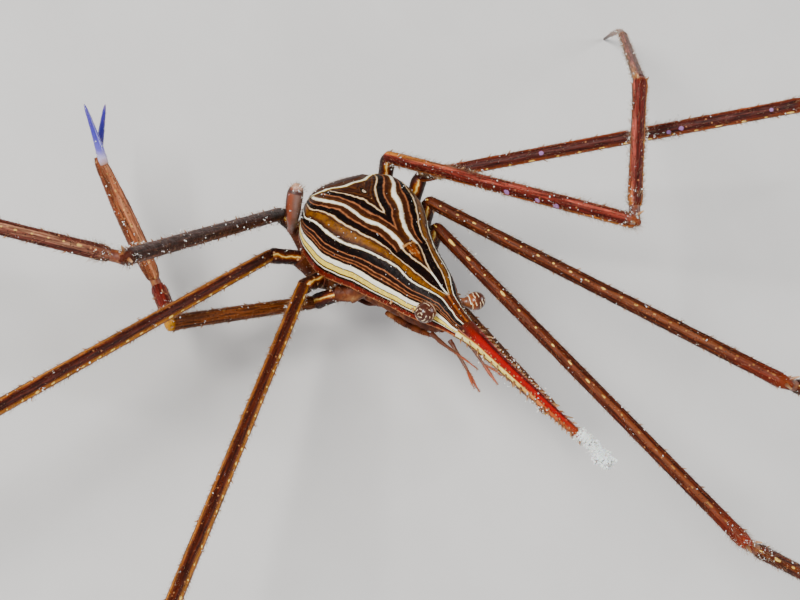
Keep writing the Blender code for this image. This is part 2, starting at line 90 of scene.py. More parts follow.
# Shell stations: x, top, half width, height of the widest line, depth below it, squareness
SHELL = (
    (-3.0, 4.45, 2.6, 3.3, 0.4, 2.3),
    (-2.6, 5.0, 3.9, 2.8, 0.45, 2.7),
    (-1.7, 5.8, 5.4, 2.1, 0.45, 3.2),
    (-0.4, 6.5, 6.65, 1.5, 0.45, 3.6),
    (1.2, 6.95, 7.6, 0.8, 0.45, 3.9),
    (3.0, 7.0, 8.0, 0.2, 0.45, 3.9),
    (5.0, 6.95, 7.95, -0.4, 0.45, 3.8),
    (6.6, 6.85, 7.4, -0.7, 0.45, 3.8),
    (8.2, 6.65, 6.65, -0.6, 0.45, 3.7),
    (9.8, 6.4, 5.95, -0.3, 0.45, 3.5),
    (11.6, 6.1, 5.3, -0.2, 0.45, 3.3),
    (13.6, 5.8, 4.65, 0.1, 0.45, 3.3),
    (15.6, 5.5, 4.1, 0.5, 0.45, 3.3),
    (17.6, 5.25, 3.5, 0.7, 0.45, 3.3),
    (19.4, 4.9, 2.9, 1.0, 0.5, 2.8),
    (21.2, 4.5, 2.2, 1.35, 0.55, 2.3),
    (22.8, 4.15, 1.75, 1.8, 0.65, 2.1),
    (24.6, 3.93, 1.5, 2.35, 0.92, 2.0),
    (26.5, 3.75, 1.25, 2.75, 1.0, 2.0),
    (29.0, 3.73, 1.0, 2.85, 0.88, 2.0),
    (33.0, 3.81, 0.82, 3.05, 0.76, 2.0),
    (37.5, 4.01, 0.7, 3.35, 0.66, 2.0),
    (42.0, 4.21, 0.58, 3.65, 0.56, 2.0),
    (46.3, 4.41, 0.46, 3.95, 0.46, 2.0),
    (47.6, 4.4, 0.36, 4.05, 0.36, 2.0),
)
# Lines of the stripes: x, then how far in from the margin each of five lines lies
LINES = (
    (-3.0, 0.5, 1.0, 1.6, 2.2, 3.2),
    (-1.5, 0.8, 1.8, 3.4, 5.0, 7.0),
    (0.0, 1.2, 2.9, 5.2, 7.2, 9.8),
    (1.2, 1.7, 3.7, 6.7, 9.1, 11.6),
    (2.6, 2.2, 4.8, 8.3, 11.2, 13.6),
    (4.2, 2.65, 5.5, 9.8, 12.5, 15.0),
    (5.6, 2.8, 5.7, 10.3, 12.95, 15.6),
    (7.2, 2.8, 5.75, 10.5, 12.9, 15.5),
    (9.3, 2.7, 5.7, 10.05, 12.4, 15.0),
    (11.6, 2.6, 5.8, 9.0, 11.3, 14.0),
    (12.6, 2.45, 5.75, 8.25, 10.6, 13.0),
    (14.0, 2.3, 5.5, 7.85, 10.2, 12.6),
    (16.0, 2.2, 4.75, 7.4, 9.6, 12.0),
    (17.0, 2.15, 4.6, 7.15, 9.4, 11.8),
    (18.8, 2.15, 4.45, 6.3, 8.6, 11.0),
    (20.2, 2.1, 4.1, 5.7, 8.0, 10.4),
    (22.0, 1.45, 3.0, 5.3, 7.7, 10.2),
    (24.0, 0.75, 1.9, 4.4, 6.8, 9.2),
    (25.5, 0.6, 1.6, 4.0, 6.3, 8.7),
)
LEVELS = (0.0, 0.252, 0.493, 0.658, 0.754, 0.856)
SPLIT_X = 24.6

# Legs as in the solids, in millimetres and degrees
MERUS = {2: 54.5, 3: 50.0, 4: 48.0, 5: 36.0}
CARPUS = {2: 17.0, 3: 16.5, 4: 17.0, 5: 17.5}
PROPODUS = {2: 49.0, 3: 45.0, 4: 42.0, 5: 38.0}
DACTYL = {2: 16.0, 3: 15.0, 4: 14.5, 5: 14.0}
ROOTS = {
    ("L", 1): ((10.9, 4.4, -3.7), (10.6, 5.7, -3.8), (9.9, 6.4, -2.6)),
    ("L", 2): ((8.2, 5.3, -4.0), (7.4, 8.4, -3.0), (6.9, 9.3, 1.4)),
    ("L", 3): ((5.3, 5.4, -3.9), (4.6, 9.1, -2.4), (4.1, 9.8, 3.3)),
    ("L", 4): ((2.4, 5.1, -3.4), (1.8, 9.0, -1.4), (1.4, 9.9, 5.3)),
    ("L", 5): ((-0.4, 3.9, -1.7), (-1.8, 7.4, 0.6), (-2.2, 7.3, 6.6)),
    ("R", 1): ((9.0, 4.9, -2.4), (8.0, 5.75, -2.85), (6.25, 7.7, -4.95)),
    ("R", 2): ((5.2, 5.9, -3.0), (5.5, 7.2, -2.05), (6.9, 10.75, -0.8)),
    ("R", 3): ((3.2, 5.4, -3.9), (1.8, 7.9, -1.2), (0.64, 11.35, -0.5)),
    ("R", 4): ((1.0, 4.9, -3.2), (-2.38, 5.35, -0.6), (-3.98, 6.96, 1.0)),
}
LEGS = {
    ("L", 2): (14.8, 12.0, 52.0, -20.0, 44.0, -62.0),
    ("L", 3): (28.0, 25.8, 68.0, -26.0, 62.0, -64.0),
    ("L", 4): (70.7, 33.9, 85.0, -20.0, 94.0, -70.0),
    ("L", 5): (27.8, 44.8, 150.0, 3.0, 122.0, -80.0),
    ("R", 2): (-51.1, 17.1, -47.0, -12.0, -43.0, -62.0),
    ("R", 3): (-79.6, 14.8, -85.0, -6.0, -89.0, -62.0),
    ("R", 4): (-80.6, 42.3, -127.0, -8.0, -124.0, -78.0),
}
CLAWS = {
    "R": ((-100.1, 5.1, 19.5), (166.0, -24.0, 5.4), (-173.8, 13.5, 17.2),
          (-178.0, 26.0, 7.2), (146.0, -14.0, 6.6)),
    "L": ((20.0, -1.0, 22.5), (107.0, -61.0, 5.4), (-159.4, -5.5, 17.2),
          (-161.0, -8.0, 7.2), (-149.0, 7.0, 6.6)),
}
EYE_CENTRE = (21.3, 4.0, 3.0)
EYE_RADIUS = 1.35

# Colours, linear
NIGHT = (0.010, 0.0035, 0.003)
UMBER = (0.050, 0.014, 0.006)
BROWN = (0.115, 0.038, 0.010)
GOLDBROWN = (0.19, 0.075, 0.014)
OCHRE = (0.34, 0.18, 0.028)
CREAM = (0.95, 0.93, 0.80)
IVORY = (0.82, 0.68, 0.50)
PINK = (0.56, 0.29, 0.21)
YELLOW = (0.90, 0.73, 0.17)
BRICK = (0.27, 0.034, 0.012)
DUSK = (0.040, 0.014, 0.006)
ROSE = (0.60, 0.33, 0.24)
ORANGE = (0.42, 0.14, 0.018)


# Geometry helpers, all in millimetres until the mesh is made
def world(points):
    """Take points of the body frame to the world frame."""
    return np.asarray(points, float) @ TURN_ROWS.T + SHIFT


def turned(direction):
    """Take directions of the body frame to the world frame."""
    return unit(np.asarray(direction, float) @ TURN_ROWS.T)


def unit(v):
    """Scale vectors to length one."""
    v = np.asarray(v, float)
    return v / np.maximum(np.linalg.norm(v, axis=-1, keepdims=True), 1e-9)


def heading(azimuth, elevation):
    """Direction in the world frame, from angles in degrees."""
    a = math.radians(azimuth)
    e = math.radians(elevation)
    return np.array([math.cos(e) * math.cos(a), math.cos(e) * math.sin(a), math.sin(e)])


def smooth(xs, ys, at):
    """Monotone cubic curve through points."""
    at = np.clip(at, xs[0], xs[-1])
    h = np.diff(xs)
    s = np.diff(ys) / h
    m = np.zeros(len(xs))
    m[[0, -1]] = s[[0, -1]]
    for i in range(1, len(xs) - 1):
        if s[i - 1] * s[i] > 0:
            w1 = 2 * h[i] + h[i - 1]
            w2 = h[i] + 2 * h[i - 1]
            m[i] = (w1 + w2) / (w1 / s[i - 1] + w2 / s[i])
    k = np.clip(np.searchsorted(xs, at, side="right") - 1, 0, len(h) - 1)
    return hermite((at - xs[k]) / h[k], h[k], ys[k], ys[k + 1], m[k], m[k + 1])


def hermite(t, h, start, end, slope_start, slope_end):
    """Cubic between two values with given slopes, over a stretch h."""
    return ((1 + 2 * t) * (1 - t) ** 2 * start + t * (1 - t) ** 2 * h * slope_start
            + t * t * (3 - 2 * t) * end + t * t * (t - 1) * h * slope_end)


def columns(table, at):
    """Smooth columns of a table, read at places along its first column."""
    first, *rest = np.array(table, float).T
    return [smooth(first, column, at) for column in rest]


def step(low, high, x):
    """Smooth step from 0 to 1."""
    t = np.clip((np.asarray(x, float) - low) / (high - low), 0.0, 1.0)
    return t * t * (3 - 2 * t)


def ripple(points, size, seed, waves=14):
    """Soft seeded noise between about -1 and 1, from crossing waves."""
    rng = np.random.default_rng(seed)
    ways = unit(rng.normal(size=(waves, 3))) * (TAU / size) * rng.uniform(0.6, 1.5, (waves, 1))
    phases = rng.uniform(0, TAU, waves)
    return np.sin(np.asarray(points) @ ways.T + phases).sum(axis=-1) / math.sqrt(waves * 0.7)


def resample(path, radii, count):
    """Smooth path and radii, at even spacing. Returns points, radii, shares and length."""
    path = np.asarray(path, float)
    d = np.concatenate([[0], np.cumsum(np.linalg.norm(np.diff(path, axis=0), axis=1))])
    at = np.linspace(0, d[-1], count)
    slopes = np.gradient(path, d, axis=0)
    k = np.clip(np.searchsorted(d, at, side="right") - 1, 0, len(d) - 2)
    h = (d[k + 1] - d[k])[:, None]
    points = hermite((at - d[k])[:, None] / h, h, path[k], path[k + 1], slopes[k], slopes[k + 1])
    shares = at / d[-1]
    table = np.asarray(radii, float)
    if table.ndim == 1:
        table = np.stack([d / d[-1], table], -1)
    return points, columns(table, shares)[0], shares, d[-1]


def ring_grid(rows, turns):
    """Marks of a grid of rings: a share along it and a share around it."""
    return np.stack(np.broadcast_arrays(rows[:, None], turns[None] / TAU), -1)


class Sheaf:
    """Gathers surfaces into one mesh, with marks for the paint."""

    def __init__(self):
        self.points = []
        self.parts = []
        self.count = 0

    def add_points(self, points):
        """Add points. Returns the number of the first."""
        first = self.count
        self.points.append(points.reshape(-1, 3))
        self.count += len(self.points[-1])
        return first

    def add_faces(self, faces, slot, *values):
        """Add faces of one size, with their marks, places and baked places at each corner."""
        shape = faces.shape + (2,)
        self.parts.append((faces, slot, *(np.broadcast_to(v, shape) for v in values)))

    def grid(self, points, marks, place, slot=0, caps=(True, True), bake=None):
        """Closed rings. The marks have one more column than the points."""
        n, m, _ = points.shape
        i = np.arange(n - 1)[:, None] * m
        j = np.arange(m)
        k = (j + 1) % m
        first = self.add_points(points)
        quads = first + np.stack([i + j, i + k, i + m + k, i + m + j], -1).reshape(-1, 4)
        layers = [marks, place, np.zeros_like(marks) if bake is None else bake]
        corners = (np.stack([v[:-1, :-1], v[:-1, 1:], v[1:, 1:], v[1:, :-1]], 2).reshape(-1, 4, 2)
                   for v in layers)
        self.add_faces(quads, slot, *corners)
        for end, wanted in zip((0, n - 1), caps):
            if not wanted:
                continue
            hub = self.add_points(points[end].mean(axis=0))
            pair = [first + end * m + j, first + end * m + k]
            rings = [[v[end][:-1], v[end][1:]] for v in layers]
            if end == 0:
                pair.reverse()
                rings = [ring[::-1] for ring in rings]
            fans = (np.stack([a, b, 0.5 * (a + b)], 1) for a, b in rings)
            self.add_faces(np.stack([*pair, np.full(m, hub)], -1), slot, *fans)

    def make(self, name, materials, slot_name, replaces=(), extra=None):
        """Make the mesh of a piece, with one more layer of marks where it has a name."""
        points = np.concatenate(self.points) * MM
        mesh = bpy.data.meshes.new(name)
        mesh.vertices.add(len(points))
        mesh.vertices.foreach_set("co", points.ravel())
        loops = np.concatenate([part[0].ravel() for part in self.parts])
        sides = np.concatenate([np.full(len(part[0]), part[0].shape[1]) for part in self.parts])
        slots = np.concatenate([np.full(len(part[0]), part[1]) for part in self.parts])
        starts = np.concatenate([[0], np.cumsum(sides)[:-1]])
        mesh.loops.add(len(loops))
        mesh.loops.foreach_set("vertex_index", loops.astype(np.int32))
        mesh.polygons.add(len(sides))
        mesh.polygons.foreach_set("loop_start", starts.astype(np.int32))
        mesh.polygons.foreach_set("material_index", slots.astype(np.int32))
        mesh.update(calc_edges=True)
        mesh.polygons.foreach_set("use_smooth", np.ones(len(sides), bool))
        layers = {"Marks": 2, "Place": 3}
        if extra is not None:
            layers = {extra: 4, **layers}
        for label, column in layers.items():
            values = np.concatenate([part[column].reshape(-1, 2) for part in self.parts])
            layer = mesh.uv_layers.new(name=label)
            layer.data.foreach_set("uv", values.ravel().astype(np.float32))
        for item in materials:
            mesh.materials.append(item)
        obj = bpy.data.objects.new(name, mesh)
        bpy.context.scene.collection.objects.link(obj)
        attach(obj, "root")
        if replaces:
            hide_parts(*replaces)


# Way from the crab to the camera, to turn each limb's markings as in the photograph
way_body = unit(CAMERA_WAY)
to_camera = turned(way_body)


class Limb:
    """A tube along a path, that knows its surface for setae."""

    def __init__(self, path, radii, count, sides, facing=None, flat=0.0, keel=0.0, seed=1,
                 rough=0.012):
        self.points, self.radii, self.shares, self.length = resample(path, radii, count)
        self.along = unit(np.gradient(self.points, axis=0))
        face = to_camera if facing is None else facing
        self.rise = unit(face - self.along * (self.along @ face)[:, None])
        self.across = np.cross(self.along, self.rise)
        self.sides = sides
        self.flat = flat
        self.keel = keel
        self.seed = seed
        self.rough = rough

    def reach(self, radius, angle):
        swell = 1.0 + self.flat * np.cos(2 * angle)
        for at in (-1.0, 1.0):
            swell = swell + self.keel * np.exp(-((angle - at) / 0.22) ** 2)
        return radius * swell

    def into(self, sheaf, slot=0, span=(0.0, 1.0)):
        """Add the tube, as a span of the part that its paint runs along."""
        turns = np.linspace(0, TAU, self.sides + 1) - math.pi
        angle = turns[None, :-1]
        out = (self.rise[:, None, :] * np.cos(angle)[..., None]
               + self.across[:, None, :] * np.sin(angle)[..., None])
        points = self.points[:, None] + out * self.reach(self.radii[:, None], angle)[..., None]
        bumps = ripple(points, 1.1, self.seed) + 0.6 * ripple(points, 0.45, self.seed + 1)
        marks = ring_grid(self.shares * self.length / MARK_MM, turns + math.pi)
        place = ring_grid(span[0] + (span[1] - span[0]) * self.shares, turns)
        sheaf.grid(points + out * (bumps * self.rough)[..., None], marks, place, slot)

    def spots(self, shares, angles):
        """Points, outward ways and lengthwise ways on the surface."""
        k = shares * (len(self.points) - 1)
        low = np.clip(np.floor(k).astype(int), 0, len(self.points) - 2)
        f = k - low

        def between(values):
            return values[low].T * (1 - f) + values[low + 1].T * f

        out = unit((between(self.rise) * np.cos(angles) + between(self.across) * np.sin(angles)).T)
        reach = self.reach(between(self.radii), angles)
        return between(self.points).T + out * reach[:, None], out, between(self.along).T


def hairs(sheaf, roots, ways, bends, lengths, widths, bake=0.0, sides=3, slot=0,
          cuts=(0.0, 0.45, 0.8)):
    """Many tapering hairs or spines, each bent along its own way."""
    n = len(roots)
    cuts = np.asarray(cuts)
    ways = unit(ways)
    bends = np.broadcast_to(bends, ways.shape)
    widths = np.broadcast_to(widths, n)
    side = unit(np.cross(ways, np.array([0.31, -0.52, 0.79])))
    other = np.cross(ways, side)
    stem = (roots[:, None] + ways[:, None] * (lengths[:, None] * cuts)[..., None]
            + bends[:, None] * (lengths[:, None] * cuts ** 2)[..., None])
    thin = widths[:, None] * (1.0 - 0.72 * cuts)
    angle = (np.arange(sides) * TAU / sides)[:, None]
    ring = side[:, None, None] * np.cos(angle) + other[:, None, None] * np.sin(angle)
    rings = stem[:, :, None] + ring * thin[:, :, None, None]
    tips = roots + (ways + bends) * lengths[:, None]
    points = np.concatenate([rings.reshape(n, -1, 3), tips[:, None]], 1)
    s = np.arange(sides)
    t = (s + 1) % sides
    c = np.arange(len(cuts) - 1)[:, None] * sides
    quads = np.stack([c + s, c + t, c + sides + t, c + sides + s], -1).reshape(-1, 4)
    last = (len(cuts) - 1) * sides
    tris = np.stack([last + s, last + t, np.full(sides, last + sides)], -1)
    first = sheaf.add_points(points) + (np.arange(n) * points.shape[1])[:, None, None]
    share = np.append(np.repeat(cuts, sides), 1.0)
    around = np.append(np.tile(s / sides, len(cuts)), 0.5)
    tint = (np.arange(n) * 0.618034)[:, None, None] % 1.0
    root_uv = np.broadcast_to(bake, (n, 2))[:, None, None, :]
    for faces in (quads, tris):
        k = faces.shape[1]
        marks = np.stack(np.broadcast_arrays(share[faces][None], tint), -1)
        baked = root_uv + np.stack([share[faces], around[faces]], -1)[None] * TUFT
        sheaf.add_faces((faces + first).reshape(-1, k), slot, marks.reshape(-1, k, 2), 0.5,
                        baked.reshape(-1, k, 2))


def icosahedron():
    """Points and faces of an icosahedron of radius one."""
    golden = (1 + 5 ** 0.5) / 2
    points = unit([
        (-1, golden, 0), (1, golden, 0), (-1, -golden, 0), (1, -golden, 0),
        (0, -1, golden), (0, 1, golden), (0, -1, -golden), (0, 1, -golden),
        (golden, 0, -1), (golden, 0, 1), (-golden, 0, -1), (-golden, 0, 1)])
    apart = np.linalg.norm(points[:, None] - points[None], axis=-1)
    near = apart < 1.1 * apart[0, 1]
    faces = []
    for a, b, c in itertools.combinations(range(len(points)), 3):
        if near[a, b] and near[b, c] and near[a, c]:
            facing = np.cross(points[b] - points[a], points[c] - points[a]) @ points[a] > 0
            faces.append((a, b, c) if facing else (a, c, b))
    return points, np.array(faces)


ICO_POINTS, ICO_FACES = icosahedron()


def crumbs(sheaf, centres, sizes, rng, bake=0.0, slot=0, uneven=0.35):
    """Many small uneven grains."""
    n = len(centres)
    shapes = ICO_POINTS[None] * rng.uniform(1 - uneven, 1 + uneven, (n, 12, 1))
    first = sheaf.add_points(centres[:, None] + shapes * sizes[:, None, None])
    rows = (ICO_FACES[None] + (first + np.arange(n) * 12)[:, None, None]).reshape(-1, 3)
    tint = np.repeat(rng.uniform(0, 1, n), len(ICO_FACES))
    marks = np.stack([np.full(len(rows), 0.5), tint], -1)[:, None]
    patch = (ICO_POINTS[:, :2] * 0.5 + 0.5) * TUFT
    baked = np.broadcast_to(bake, (n, 2))[:, None, None, :] + patch[ICO_FACES][None]
    sheaf.add_faces(rows, slot, marks, 0.5, baked.reshape(-1, 3, 2))


# Paint helpers
class Value:
    """A number or colour inside a material. Sums and products of it make new nodes."""

    def __init__(self, paint, socket):
        self.paint = paint
        self.socket = socket

    def __add__(self, other):
        return self.paint.math("ADD", self, other)

    def __sub__(self, other):
        return self.paint.math("SUBTRACT", self, other)

    def __mul__(self, other):
        return self.paint.math("MULTIPLY", self, other)

    def __truediv__(self, other):
        return self.paint.math("DIVIDE", self, other)

    def __abs__(self):
        return self.paint.math("ABSOLUTE", self)

    def jitter(self, width):
        """Noise spread evenly about zero."""
        return self.paint.math("MULTIPLY_ADD", self, width, -0.5 * width)

    def between(self, low, high, to_low=0.0, to_high=1.0, curve="SMOOTHSTEP"):
        """From one value to another over a stretch."""
        given = (self, low, high, to_low, to_high)
        return self.paint.made("ShaderNodeMapRange", given, interpolation_type=curve)

    def band(self, centre, half, soft):
        """1 inside a band around a centre, falling off softly."""
        return abs(self - centre).between(half, half + soft, 1.0, 0.0)


class Paint:
    """Short hand for a node material, whose colour is laid on in layers."""

    def __init__(self, name):
        self.material = bpy.data.materials.new(name)
        self.material.use_nodes = True
        self.tree = self.material.node_tree
        self.colour = None

    def put(self, socket, value):
        if isinstance(value, Value):
            self.tree.links.new(value.socket, socket)
        elif isinstance(value, tuple) and socket.type == "RGBA":
            socket.default_value = (*value, 1.0)
        else:
            socket.default_value = value

    def made(self, kind, given=(), out=0, **settings):
        """New node with its inputs filled, in order or by name. Returns one output."""
        node = self.tree.nodes.new(kind)
        for key, value in settings.items():
            setattr(node, key, value)
        for key, value in given.items() if isinstance(given, dict) else enumerate(given):
            self.put(node.inputs[key], value)
        return Value(self, node.outputs[out])

    def uv(self, name):
        parts = self.made("ShaderNodeSeparateXYZ", (self.made("ShaderNodeUVMap", uv_map=name),))
        return parts, Value(self, parts.socket.node.outputs[1])

    def where(self):
        return self.made("ShaderNodeTexCoord", out="Object")

    def math(self, operation, *given):
        return self.made("ShaderNodeMath", given, operation=operation)

    def vector(self, *given):
        return self.made("ShaderNodeCombineXYZ", given)

    def noise(self, vector, scale, detail=2.0, rough=0.55):
        given = {"Vector": vector, "Scale": scale, "Detail": detail, "Roughness": rough}
        return self.made("ShaderNodeTexNoise", given)

    def cells(self, vector, scale, low, high, strength):
        """Small round spots in the middle of cells."""
        away = self.made("ShaderNodeTexVoronoi", {"Vector": vector, "Scale": scale})
        return away.between(low, high, strength, 0.0)

    def ramp(self, value, stops):
        made = self.made("ShaderNodeValToRGB", (value,))
        elements = made.socket.node.color_ramp.elements
        elements.remove(elements[-1])
        elements[0].position = stops[0][0]
        elements[0].color = (*stops[0][1], 1.0)
        for place, colour in stops[1:]:
            elements.new(place).color = (*colour, 1.0)
        return made

    def bands(self, value, bands, low, high):
        """Ramp over a stretch from bands of start, end and colour, with soft edges."""
        stops = []
        for start, end, colour in bands:
            inset = min(BAND_EDGE, 0.3 * (end - start))
            for at in (start + inset, end - inset):
                stops.append(((at - low) / (high - low), colour))
        return self.ramp(value.between(low, high, curve="LINEAR"), stops)

    def mix(self, share, a, b, mode="MIX"):
        given = {0: share, 6: a, 7: b}
        return self.made("ShaderNodeMix", given, 2, data_type="RGBA", blend_type=mode)

    def lay(self, share, colour, mode="MIX"):
        """Lay a colour over what is painted so far."""
        self.colour = self.mix(share, self.colour, colour, mode)

    def shade(self, share, noise, dark):
        """Darken what is painted so far where the noise is low."""
        self.lay(share, self.mix(noise, dark, (1.0, 1.0, 1.0)), "MULTIPLY")

    def finish(self, rough, relief=None, deep=1.35, **settings):
        """Set the shader. The relief is a height, a strength and a distance."""
        given = {"Base Color": self.made("ShaderNodeGamma", (self.colour, deep)),
                 "Roughness": rough}
        if relief is not None:
            keys = ("Height", "Strength", "Distance")
            given["Normal"] = self.made("ShaderNodeBump", dict(zip(keys, relief)))
        shader = self.tree.nodes["Principled BSDF"]
        for key, value in {**given, **settings}.items():
            self.put(shader.inputs[key.replace("_", " ")], value)
        return self.material


# Bands of the shell, from its margin to its midline, and the ones ahead of the middle node
BAND_EDGE = 0.003
OUTER = (
    (0.000, 0.010, PINK), (0.015, 0.072, BRICK), (0.078, 0.104, NIGHT),
    (0.108, 0.121, CREAM), (0.126, 0.141, UMBER), (0.146, 0.208, YELLOW),
    (0.212, 0.218, UMBER), (0.223, 0.280, CREAM), (0.285, 0.312, DUSK), (0.316, 0.3185, ROSE),
    (0.324, 0.346, BROWN), (0.3505, 0.353, ROSE), (0.358, 0.394, DUSK), (0.399, 0.4035, ROSE),
    (0.408, 0.481, NIGHT), (0.4855, 0.506, CREAM),
)
MIDDLE = (
    (0.480, 0.4985, CREAM), (0.502, 0.507, UMBER), (0.511, 0.520, GOLDBROWN),
    (0.524, 0.552, OCHRE), (0.5555, 0.562, BROWN), (0.5655, 0.5695, IVORY),
    (0.574, 0.606, NIGHT), (0.609, 0.6115, ROSE), (0.6155, 0.642, BROWN),
    (0.6475, 0.6655, CREAM), (0.670, 0.681, GOLDBROWN), (0.685, 0.703, BROWN),
    (0.7065, 0.709, ROSE), (0.714, 0.748, NIGHT),
)
INNER = (
    (0.735, 0.748, NIGHT), (0.7505, 0.7550, IVORY), (0.760, 0.773, UMBER),
    (0.777, 0.787, GOLDBROWN), (0.790, 0.794, UMBER), (0.798, 0.815, BROWN),
    (0.818, 0.822, UMBER), (0.826, 0.845, GOLDBROWN), (0.850, 0.930, BROWN),
)
AHEAD = (
    (0.480, 0.488, NIGHT), (0.4905, 0.497, CREAM), (0.503, 0.512, UMBER),
    (0.517, 0.553, OCHRE), (0.557, 0.562, GOLDBROWN), (0.5655, 0.5695, IVORY),
    (0.575, 0.649, NIGHT), (0.653, 0.660, IVORY), (0.665, 0.676, UMBER),
    (0.682, 0.75, ORANGE),
)


def shell_paint():
    p = Paint("shell")
    mark, _ = p.uv("Marks")
    px, py = p.uv("Place")
    where = p.where()
    wobble = p.noise(where, 420.0, 3.0)
    fine = p.noise(where, 2600.0)
    m = mark + wobble.jitter(0.028) + fine.jitter(0.008)
    ragged = fine.jitter(0.8)
    x = px * PLACE_X
    y = abs((py - 0.5) * PLACE_Y)
    middle = p.mix(m.between(0.7409, 0.7411), p.bands(m, MIDDLE, 0.48, 0.75),
                   p.bands(m, INNER, 0.73, 0.93))
    middle = p.mix(x.between(12.15, 12.5), middle, p.bands(m, AHEAD, 0.48, 0.75))
    p.colour = p.mix(m.between(0.4919, 0.4921), p.bands(m, OUTER, 0.0, 0.52), middle)
    # Gold fringes of the pale lines, and mottling of the ochre and brown bands
    blotch = p.noise(where, 1500.0, 4.0, 0.65)
    tone = p.made("ShaderNodeRGBToBW", (p.colour,))
    dark = tone.between(0.26, 0.5, 1.0, 0.12)
    p.lay(tone.band(0.34, 0.10, 0.16) * 0.75, (1.0, 0.76, 0.34), "MULTIPLY")
    p.lay(blotch.between(0.35, 0.7, 0.0, 0.6) * dark, UMBER)
    # White line on the midline between the orange wedges, and the second wedge
    p.lay(y.between(0.07, 0.15, 1.0, 0.0) * (x + ragged).band(18.6, 1.75, 0.3), CREAM)
    wedge = p.ramp(y + ragged * 0.3, ((0.0, (0.44, 0.17, 0.035)), (0.12, (0.40, 0.12, 0.03)),
                                      (0.22, UMBER), (0.5, (0.20, 0.045, 0.018)),
                                      (0.8, (0.12, 0.034, 0.014))))
    p.lay(x.between(20.1, 20.6) * m.between(0.500, 0.508) * 0.9,
          p.mix(blotch.between(0.45, 0.7, 0.0, 0.35), wedge, GOLDBROWN))
    # Whorl over the heart: a dark ragged patch with a few pale marks
    wx = (x + wobble * 0.8 - 2.75) / 1.15
    wy = y / 0.62
    ring = p.math("SQRT", wx * wx + wy * wy) + p.noise(where, 1300.0).jitter(1.1)
    whorl = p.ramp(ring, ((0.0, (0.35, 0.10, 0.03)), (0.16, IVORY), (0.24, IVORY), (0.3, NIGHT),
                          (0.62, NIGHT), (0.68, GOLDBROWN), (0.82, BROWN), (0.88, NIGHT),
                          (0.94, BROWN)))
    p.lay(ring.between(0.9, 1.0, 1.0, 0.0), whorl)
    # Tan marks at the middle node and the front of its wedge
    node = y.between(0.9, 1.1, 1.0, 0.0) * (x + ragged * 1.2).band(12.15, 0.10, 0.10)
    tan = p.noise(where, 1700.0).between(0.5, 0.58) * y.between(0.5, 0.6, 1.0, 0.0)
    p.lay(p.math("MAXIMUM", node, tan * x.band(13.2, 0.5, 0.3)), (0.52, 0.30, 0.13))
    # Rear rim behind its own pale line
    edge = p.uv("Rim")[0] * RIM_SCALE + wobble.jitter(0.5)
    rear = p.ramp(edge.between(-2.6, 0.6, curve="LINEAR"),
                  ((0.0, (0.12, 0.075, 0.05)), (0.2, BROWN), (0.34, UMBER), (0.42, BROWN),
                   (0.52, (0.16, 0.09, 0.06)), (0.64, UMBER), (0.72, NIGHT), (0.745, YELLOW),
                   (0.77, CREAM), (0.84, CREAM), (0.862, YELLOW), (0.885, GOLDBROWN),
                   (0.95, BROWN)))
    p.lay(edge.between(0.3, 0.6, 1.0, 0.0), rear)
    # Fine grain, and light worn spots
    grain = p.noise(where, 5200.0)
    p.shade(dark * 0.45, grain, (0.4, 0.4, 0.4))
    spots = p.cells(where, 1500.0, 0.1, 0.17, 0.6) * p.noise(where, 300.0).between(0.54, 0.6)
    p.lay(spots * 0.35, PINK)
    # Relief: pale lines stand a little proud, with pits between
    level = p.made("ShaderNodeRGBToBW", (p.colour,))
    height = level * 0.5 + grain * 0.4 + p.noise(where, 900.0, 3.0) * 0.9
    return p.finish(grain.between(0.3, 0.7, 0.4, 0.55), (height, 0.6, 0.00008),
                    Specular_IOR_Level=0.08)


